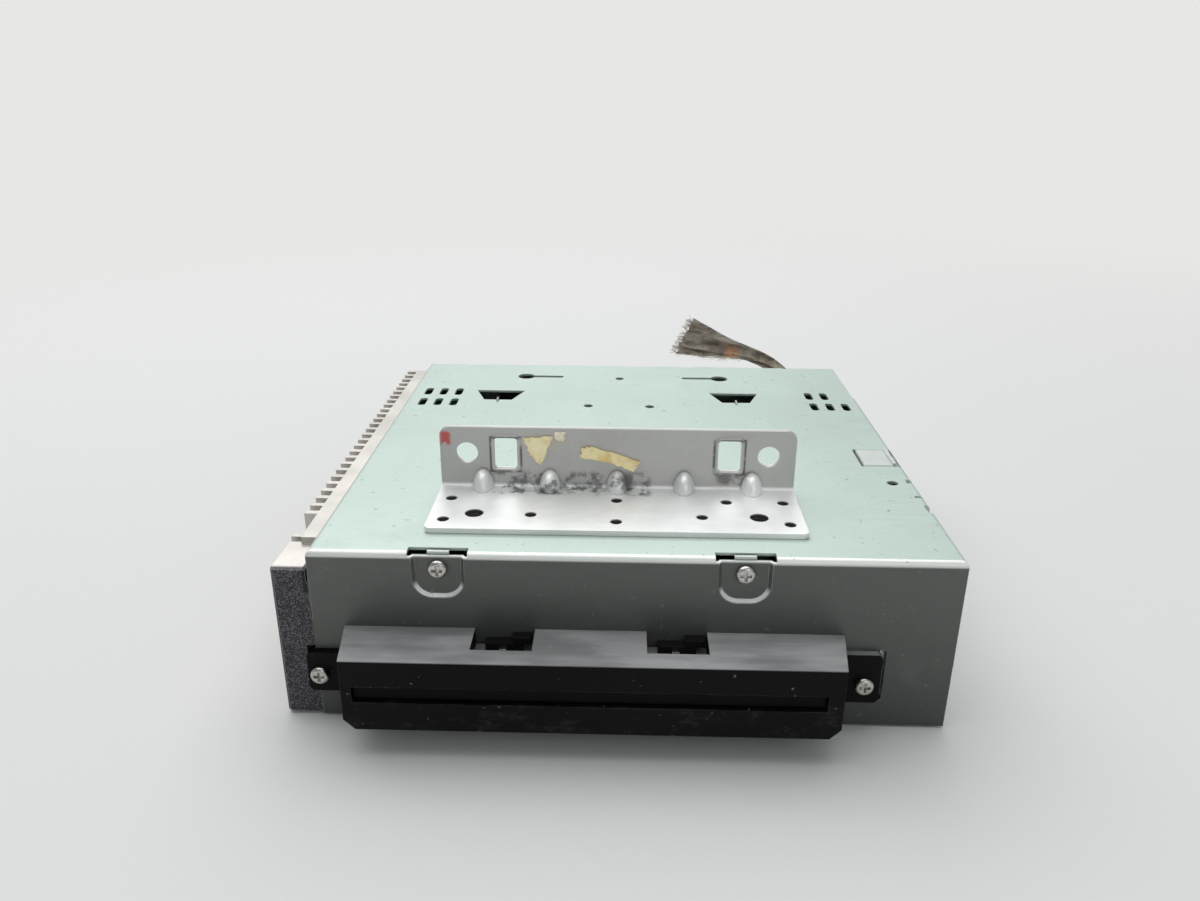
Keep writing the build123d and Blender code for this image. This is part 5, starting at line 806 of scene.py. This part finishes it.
def tape(name, corners, seed, colour, lift):
    """A scrap of torn tape on the flange: its middle lies flat and its rim curls off a little."""
    outline = torn_outline(corners, seed, TAPE_RAGGEDNESS, TAPE_EDGE_STEPS)
    rng = random.Random(seed + TAPE_CURL_SEED)
    count = len(outline)
    middle_x = sum(point[0] for point in outline) / count
    middle_z = sum(point[1] for point in outline) / count
    rings = [(1.0, lift)] + TAPE_INNER_RINGS
    points = []
    for share, height in rings:
        for x, z in outline:
            away = height * (TAPE_CURL_LEAST + TAPE_CURL_SPREAD * rng.random()) if share == 1.0 else height
            points.append(at(middle_x + (x - middle_x) * share, FLANGE_FRONT_Y - TAPE_GAP - away,
                             middle_z + (z - middle_z) * share))
    points.append(at(middle_x, FLANGE_FRONT_Y - TAPE_MIDDLE_GAP, middle_z))
    faces = []
    for ring in range(len(rings) - 1):
        for place in range(count):
            after = (place + 1) % count
            faces.append((ring * count + place, ring * count + after, (ring + 1) * count + after,
                          (ring + 1) * count + place))
    last = (len(rings) - 1) * count
    for place in range(count):
        faces.append((last + place, last + (place + 1) % count, len(points) - 1))
    paper = tape_finish(name + "_paper", colour)
    piece = mesh_piece(name, points, faces, paper, "case", "bracket_steel")
    thickness = piece.modifiers.new("thickness", "SOLIDIFY")
    thickness.thickness = TAPE_THICKNESS * MM
    thickness.offset = 0.0


def box_mesh(points, faces, middle_x, box):
    """Adds a box given by two corners whose x counts from a middle."""
    low, high = box
    start = len(points)
    for z in (low[2], high[2]):
        for x, y in ((low[0], low[1]), (high[0], low[1]), (high[0], high[1]), (low[0], high[1])):
            points.append(at(middle_x + x, y, z))
    for face in ((3, 2, 1, 0), (4, 5, 6, 7), (0, 1, 5, 4), (1, 2, 6, 5), (2, 3, 7, 6), (3, 0, 4, 7)):
        faces.append(tuple(start + corner for corner in face))


def gusset_domes(material):
    """Pressed domes that stiffen the bracket's bend, over the plain tabs of its solid."""
    points = []
    faces = []
    for place in range(GUSSET_COUNT):
        middle = BRACKET_X + (place - (GUSSET_COUNT - 1) / 2) * GUSSET_PITCH
        start = len(points)
        for step in range(DOME_STEPS + 1):
            turn = math.pi * (DOME_END + (1 - 2 * DOME_END) * step / DOME_STEPS)
            x = middle - DOME_HALF_WIDTH * math.cos(turn)
            points.append(at(x, FLANGE_FRONT_Y, BRACKET_BASE_Z))
            for rise in range(DOME_STEPS + 1):
                lean = math.pi / 2 * rise / DOME_STEPS
                reach = DOME_REACH * math.sin(turn)
                points.append(at(x, FLANGE_FRONT_Y - reach * math.cos(lean),
                                 BRACKET_BASE_Z + reach * math.sin(lean)))
        ring = DOME_STEPS + 2
        for step in range(DOME_STEPS):
            for corner in range(ring):
                after = (corner + 1) % ring
                base = start + step * ring
                faces.append((base + corner, base + after, base + ring + after, base + ring + corner))
        last = start + DOME_STEPS * ring
        faces.append(tuple(start + corner for corner in reversed(range(ring))))
        faces.append(tuple(last + corner for corner in range(ring)))
    domes = mesh_piece("gusset_domes", points, faces, material, "case", "bracket_steel")
    for face in domes.data.polygons:
        face.use_smooth = len(face.vertices) == 4


def mouth_catches():
    """In each notch of the mouth: a black catch that holds it to the case, and its bright spring tongue."""
    catches = ([], [])
    tongues = ([], [])
    for side in (-1, 1):
        middle = DISC_X + side * NOTCH_HALF_PITCH
        box_mesh(*catches, middle, CATCH_BODY)
        box_mesh(*catches, middle, CATCH_STEP)
        box_mesh(*tongues, middle, SPRING_TONGUE)
    black = moulded("catch_plastic", (0.006, 0.006, 0.006), 0.5, gloss=0.2)
    mesh_piece("mouth_catches", *catches, black, "case", "black_moulding")
    bright = machined("tongue_steel", (0.72, 0.72, 0.70))
    mesh_piece("catch_tongues", *tongues, bright, "case", "bright_screws")


def socket_pins(name, middle, width, height, columns, face_y):
    """Tinned blades that sheathe the pins of a rear socket."""
    tip_y = face_y - PIN_SETBACK
    rings = [(PIN_ROOT_Y, *PIN_HALF), (tip_y - PIN_TAPER, *PIN_HALF), (tip_y + PIN_OVER, *PIN_TIP_HALF)]
    low = SOCKET_TOP_Z - height
    points = []
    faces = []
    for column in range(columns):
        for row in range(PIN_ROWS):
            x = middle - width / 2 + SOCKET_WALL + (width - 2 * SOCKET_WALL) / columns * (column + 0.5)
            z = low + SOCKET_WALL + (height - 2 * SOCKET_WALL) / PIN_ROWS * (row + 0.5)
            start = len(points)
            for y, half_x, half_z in rings:
                for side_x, side_z in ((-1, -1), (1, -1), (1, 1), (-1, 1)):
                    points.append(at(x + side_x * half_x, y, z + side_z * half_z))
            for ring in range(len(rings) - 1):
                for side in range(4):
                    after = (side + 1) % 4
                    base = start + ring * 4
                    faces.append((base + side, base + after, base + 4 + after, base + 4 + side))
            faces.append((start + 8, start + 9, start + 10, start + 11))
            faces.append((start + 3, start + 2, start + 1, start))
    metal = machined(name + "_tin", (0.70, 0.68, 0.62), 0.25)
    mesh_piece(name, points, faces, metal, "case", "connector_moulding")


# ------------------------------------------------------------------ ground strap
def strap_route():
    """The control points of the strap's middle line, from its lug to its torn end."""
    points = [Vector(STRAP_START)]
    for run in STRAP_RUNS:
        points.append(points[-1] + Vector(run))
    return [at(*point) for point in points]


def spline_points(route):
    """Points along the smooth line that has the route as its control points."""
    curve = bpy.data.curves.new("strap_line", "CURVE")
    curve.dimensions = "3D"
    curve.resolution_u = STRAP_RESOLUTION
    spline = curve.splines.new("NURBS")
    spline.points.add(len(route) - 1)
    for point, place in zip(spline.points, route):
        point.co = (*place, 1.0)
    spline.order_u = 3
    spline.use_endpoint_u = True
    line = bpy.data.objects.new("strap_line", curve)
    bpy.context.scene.collection.objects.link(line)
    mesh = bpy.data.meshes.new_from_object(line)
    places = [vertex.co.copy() for vertex in mesh.vertices]
    bpy.data.objects.remove(line)
    bpy.data.meshes.remove(mesh)
    return places


def walk(places, count):
    """Evenly spaced points on a line, with their directions."""
    lengths = [0.0]
    for before, after in zip(places, places[1:]):
        lengths.append(lengths[-1] + (after - before).length)
    total = lengths[-1]
    points = []
    directions = []
    index = 0
    for step in range(count):
        wanted = total * step / (count - 1)
        while index < len(places) - 2 and lengths[index + 1] < wanted:
            index += 1
        span = max(lengths[index + 1] - lengths[index], 1e-9)
        share = (wanted - lengths[index]) / span
        points.append(places[index].lerp(places[index + 1], share))
        directions.append((places[index + 1] - places[index]).normalized())
    return points, directions, total


def strap_axes(direction, share):
    """The strap's width and thickness directions: flat on the lug, then tipping up towards the viewer."""
    wanted = STRAP_FLAT.lerp(STRAP_TIPPED, min(1.0, share * STRAP_TIP_RATE))
    side = (wanted - direction * wanted.dot(direction)).normalized()
    return side, direction.cross(side).normalized()


def strap_half_width(share):
    """Half the strap's width: gathered over the case's rear edge, spread where it is torn."""
    if share < STRAP_NECK_AT:
        turn = share / STRAP_NECK_AT * math.pi / 2
        width = STRAP_WIDTH * math.cos(turn) ** 2 + STRAP_NECK * math.sin(turn) ** 2
    else:
        opened = (share - STRAP_NECK_AT) / (1 - STRAP_NECK_AT)
        width = STRAP_NECK + (STRAP_TORN_WIDTH - STRAP_NECK) * opened
    return width / 2 * MM


def ribbon(points, faces, path, half_width, half_thickness):
    """Adds a flat yarn: path holds centres with their side and lift directions."""
    start = len(points)
    for centre, side, lift in path:
        points.append(centre - side * half_width)
        points.append(centre + lift * half_thickness)
        points.append(centre + side * half_width)
        points.append(centre - lift * half_thickness)
    for step in range(len(path) - 1):
        for corner in range(4):
            after = (corner + 1) % 4
            base = start + step * 4
            faces.append((base + corner, base + after, base + 4 + after, base + 4 + corner))
    last = start + (len(path) - 1) * 4
    faces.append((start + 3, start + 2, start + 1, start))
    faces.append((last, last + 1, last + 2, last + 3))


def fold(travel):
    """Zigzags between -1 and 1, so that a yarn turns back at the strap's edges."""
    return 1 - abs(travel % 2 - 1) * 2


def flare_share(share):
    """How far the lower layer has opened: 0 where it leaves the strap, 1 at the torn end."""
    return max(0.0, (share - STRAP_FLARE_AT) / (1 - STRAP_FLARE_AT))


def flare_half_width(share):
    """Half the width of the layer that opens out below the strap."""
    opened = STRAP_FLARE_ROOT + (1 - STRAP_FLARE_ROOT) * flare_share(share)
    return STRAP_FLARE_WIDTH / 2 * MM * opened


def low_edge(share):
    """How far the strap's lower edge lies below its middle line."""
    return STRAP_FLARE_SHIFT * flare_share(share) * MM + flare_half_width(share)


def strap_yarns(line, directions, total, seed, first_step, half_width, drop, depth):
    """Yarns that run to and fro across a layer of the strap and pass over and under each other."""
    rng = random.Random(seed)
    points = []
    faces = []
    for yarn in range(STRAP_YARNS):
        phase = yarn / STRAP_YARNS * 2
        reach = STRAP_STEPS - rng.randrange(0, 5)
        path = []
        for step in range(first_step, reach):
            share = step / (STRAP_STEPS - 1)
            travel = share * total / (STRAP_LAY * MM) + phase
            climbs = travel % 2 < 1
            across = fold(travel)
            torn = max(0.0, (share - STRAP_TEARS) / (1 - STRAP_TEARS))
            side, lift = strap_axes(directions[step], share)
            crossing = math.cos(travel % 1 * math.pi * STRAP_YARNS / 2)
            height = (STRAP_PLY if climbs else -STRAP_PLY) * crossing
            height += torn * rng.uniform(-STRAP_TORN_LIFT, STRAP_TORN_LIFT)
            wave = math.sin(across * STRAP_WAVES_ACROSS + share * STRAP_WAVES_ALONG)
            ripple = STRAP_RIPPLE * wave * min(1.0, share * 2)
            centre = line[step] + side * (half_width(share) * across - drop * flare_share(share) * MM)
            centre += lift * (height + ripple + depth * flare_share(share)) * MM
            run = directions[step] + side * (STRAP_YARN_LEAN if climbs else -STRAP_YARN_LEAN)
            path.append((centre, lift.cross(run).normalized(), lift))
        ribbon(points, faces, path, STRAP_YARN_HALF_WIDTH * MM, STRAP_YARN_HALF_THICKNESS * MM)
    return points, faces


def strap_fibres(line, directions):
    """Loose fibres that stick out of the torn end and along the lower edge."""
    rng = random.Random(FIBRE_SEED)
    points = []
    faces = []
    first_step = int(STRAP_STEPS * FIBRE_FROM)
    for fibre in range(STRAP_FIBRES):
        at_end = fibre % 2 == 0
        step = STRAP_STEPS - 2 if at_end else rng.randrange(first_step, STRAP_STEPS - 4)
        share = step / (STRAP_STEPS - 1)
        offset = rng.uniform(-low_edge(share), strap_half_width(share)) if at_end else -low_edge(share)
        side, lift = strap_axes(directions[step], share)
        place = line[step] + side * offset * FIBRE_INSET
        heading = directions[step] + side * rng.uniform(*FIBRE_END_SIDE)
        heading += lift * rng.uniform(*FIBRE_END_LIFT)
        if not at_end:
            heading = directions[step] * FIBRE_EDGE_ALONG - side * rng.uniform(*FIBRE_EDGE_SIDE)
            heading += lift * rng.uniform(*FIBRE_EDGE_LIFT)
        bend = side * rng.uniform(*FIBRE_BEND_SIDE) + lift * rng.uniform(*FIBRE_BEND_LIFT)
        stride = rng.uniform(*FIBRE_STRIDE) * MM
        path = []
        for bead in range(FIBRE_BEADS):
            path.append((place.copy(), side, lift))
            heading = (heading + bend).normalized()
            place += heading * stride
        ribbon(points, faces, path, FIBRE_HALF_WIDTH * MM, FIBRE_HALF_THICKNESS * MM)
    return points, faces


def ground_strap():
    """The flat woven strap with its torn, open end, in place of its plain solid."""
    route = strap_route()
    line, directions, total = walk(spline_points(route), STRAP_STEPS)
    points, faces = strap_yarns(line, directions, total, STRAP_SEED, 0, strap_half_width, 0.0, 0.0)
    strap = mesh_piece("strap_braid", points, faces, braid_finish(), "case", "strap_braid")
    first_step = int(STRAP_FLARE_AT * STRAP_STEPS)
    points, faces = strap_yarns(line, directions, total, FLARE_SEED, first_step, flare_half_width,
                                STRAP_FLARE_SHIFT, STRAP_FLARE_DEPTH)
    flare = mesh_piece("strap_flare", points, faces, strap.data.materials[0], "case", "strap_braid")
    points, faces = strap_fibres(line, directions)
    frayed = mesh_piece("strap_fibres", points, faces, fibre_finish(), "case", "strap_braid")
    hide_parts("ground_strap")


# ------------------------------------------------------------------ stage
def camera():
    """The view of the photograph."""
    yaw = math.radians(CAMERA_YAW)
    pitch = math.radians(CAMERA_PITCH)
    roll = math.radians(CAMERA_ROLL)
    forward = Vector((math.sin(yaw) * math.cos(pitch), math.cos(yaw) * math.cos(pitch), -math.sin(pitch)))
    level = Vector((math.cos(yaw), -math.sin(yaw), 0.0))
    upright = level.cross(forward)
    right = level * math.cos(roll) + upright * math.sin(roll)
    up = upright * math.cos(roll) - level * math.sin(roll)
    data = bpy.data.cameras.new("camera")
    data.sensor_width = CAMERA_SENSOR
    data.sensor_fit = "HORIZONTAL"
    data.lens = CAMERA_LENS
    data.clip_start = CAMERA_CLIP_START
    seat = bpy.data.objects.new("camera", data)
    turn = Matrix((right, up, -forward)).transposed().to_4x4()
    seat.matrix_world = Matrix.Translation(at(*CAMERA_PLACE)) @ turn
    bpy.context.scene.collection.objects.link(seat)
    bpy.context.scene.camera = seat


def lamp(name, place, target, size, power):
    data = bpy.data.lights.new(name, "AREA")
    data.shape = "SQUARE"
    data.size = size
    data.energy = power
    light = bpy.data.objects.new(name, data)
    light.location = place
    light.rotation_euler = (Vector(target) - Vector(place)).to_track_quat("-Z", "Y").to_euler()
    bpy.context.scene.collection.objects.link(light)


def stage():
    """The floor, the sky, which the camera sees as a plain background, and the lamps."""
    mesh = bpy.data.meshes.new("floor")
    size = FLOOR_HALF_SIZE
    corners = [(-size, -size), (size, -size), (size, size), (-size, size)]
    mesh.from_pydata([(x, y, -FLOOR_DROP) for x, y in corners], [], [(0, 1, 2, 3)])
    floor = bpy.data.objects.new("floor", mesh)
    mesh.materials.append(floor_finish())
    bpy.context.scene.collection.objects.link(floor)
    world = bpy.data.worlds.new("studio")
    world.use_nodes = True
    nodes = world.node_tree.nodes
    links = world.node_tree.links
    background = nodes["Background"]
    background.inputs["Color"].default_value = (*SKY_COLOUR, 1.0)
    background.inputs["Strength"].default_value = SKY_STRENGTH
    shown = nodes.new("ShaderNodeBackground")
    shown.inputs["Color"].default_value = (*BACKGROUND_COLOUR, 1.0)
    shown.inputs["Strength"].default_value = 1.0
    path = nodes.new("ShaderNodeLightPath")
    seen = nodes.new("ShaderNodeMath")
    seen.operation = "MAXIMUM"
    links.new(path.outputs["Is Camera Ray"], seen.inputs[0])
    links.new(path.outputs["Is Transmission Ray"], seen.inputs[1])
    mix = nodes.new("ShaderNodeMixShader")
    links.new(seen.outputs[0], mix.inputs[0])
    links.new(background.outputs[0], mix.inputs[1])
    links.new(shown.outputs[0], mix.inputs[2])
    links.new(mix.outputs[0], nodes["World Output"].inputs[0])
    bpy.context.scene.world = world
    for values in LAMPS:
        lamp(*values)
    bpy.context.scene.view_settings.view_transform = "Standard"


def main():
    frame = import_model()
    camera()
    stage()
    ground_strap()
    dress_nodes(frame)
    for values in TAPES:
        tape(*values)
    gusset_domes(frame["nodes"]["mount_bracket"].material_slots[0].material)
    mouth_catches()
    for values in SOCKETS:
        socket_pins(*values)


main()
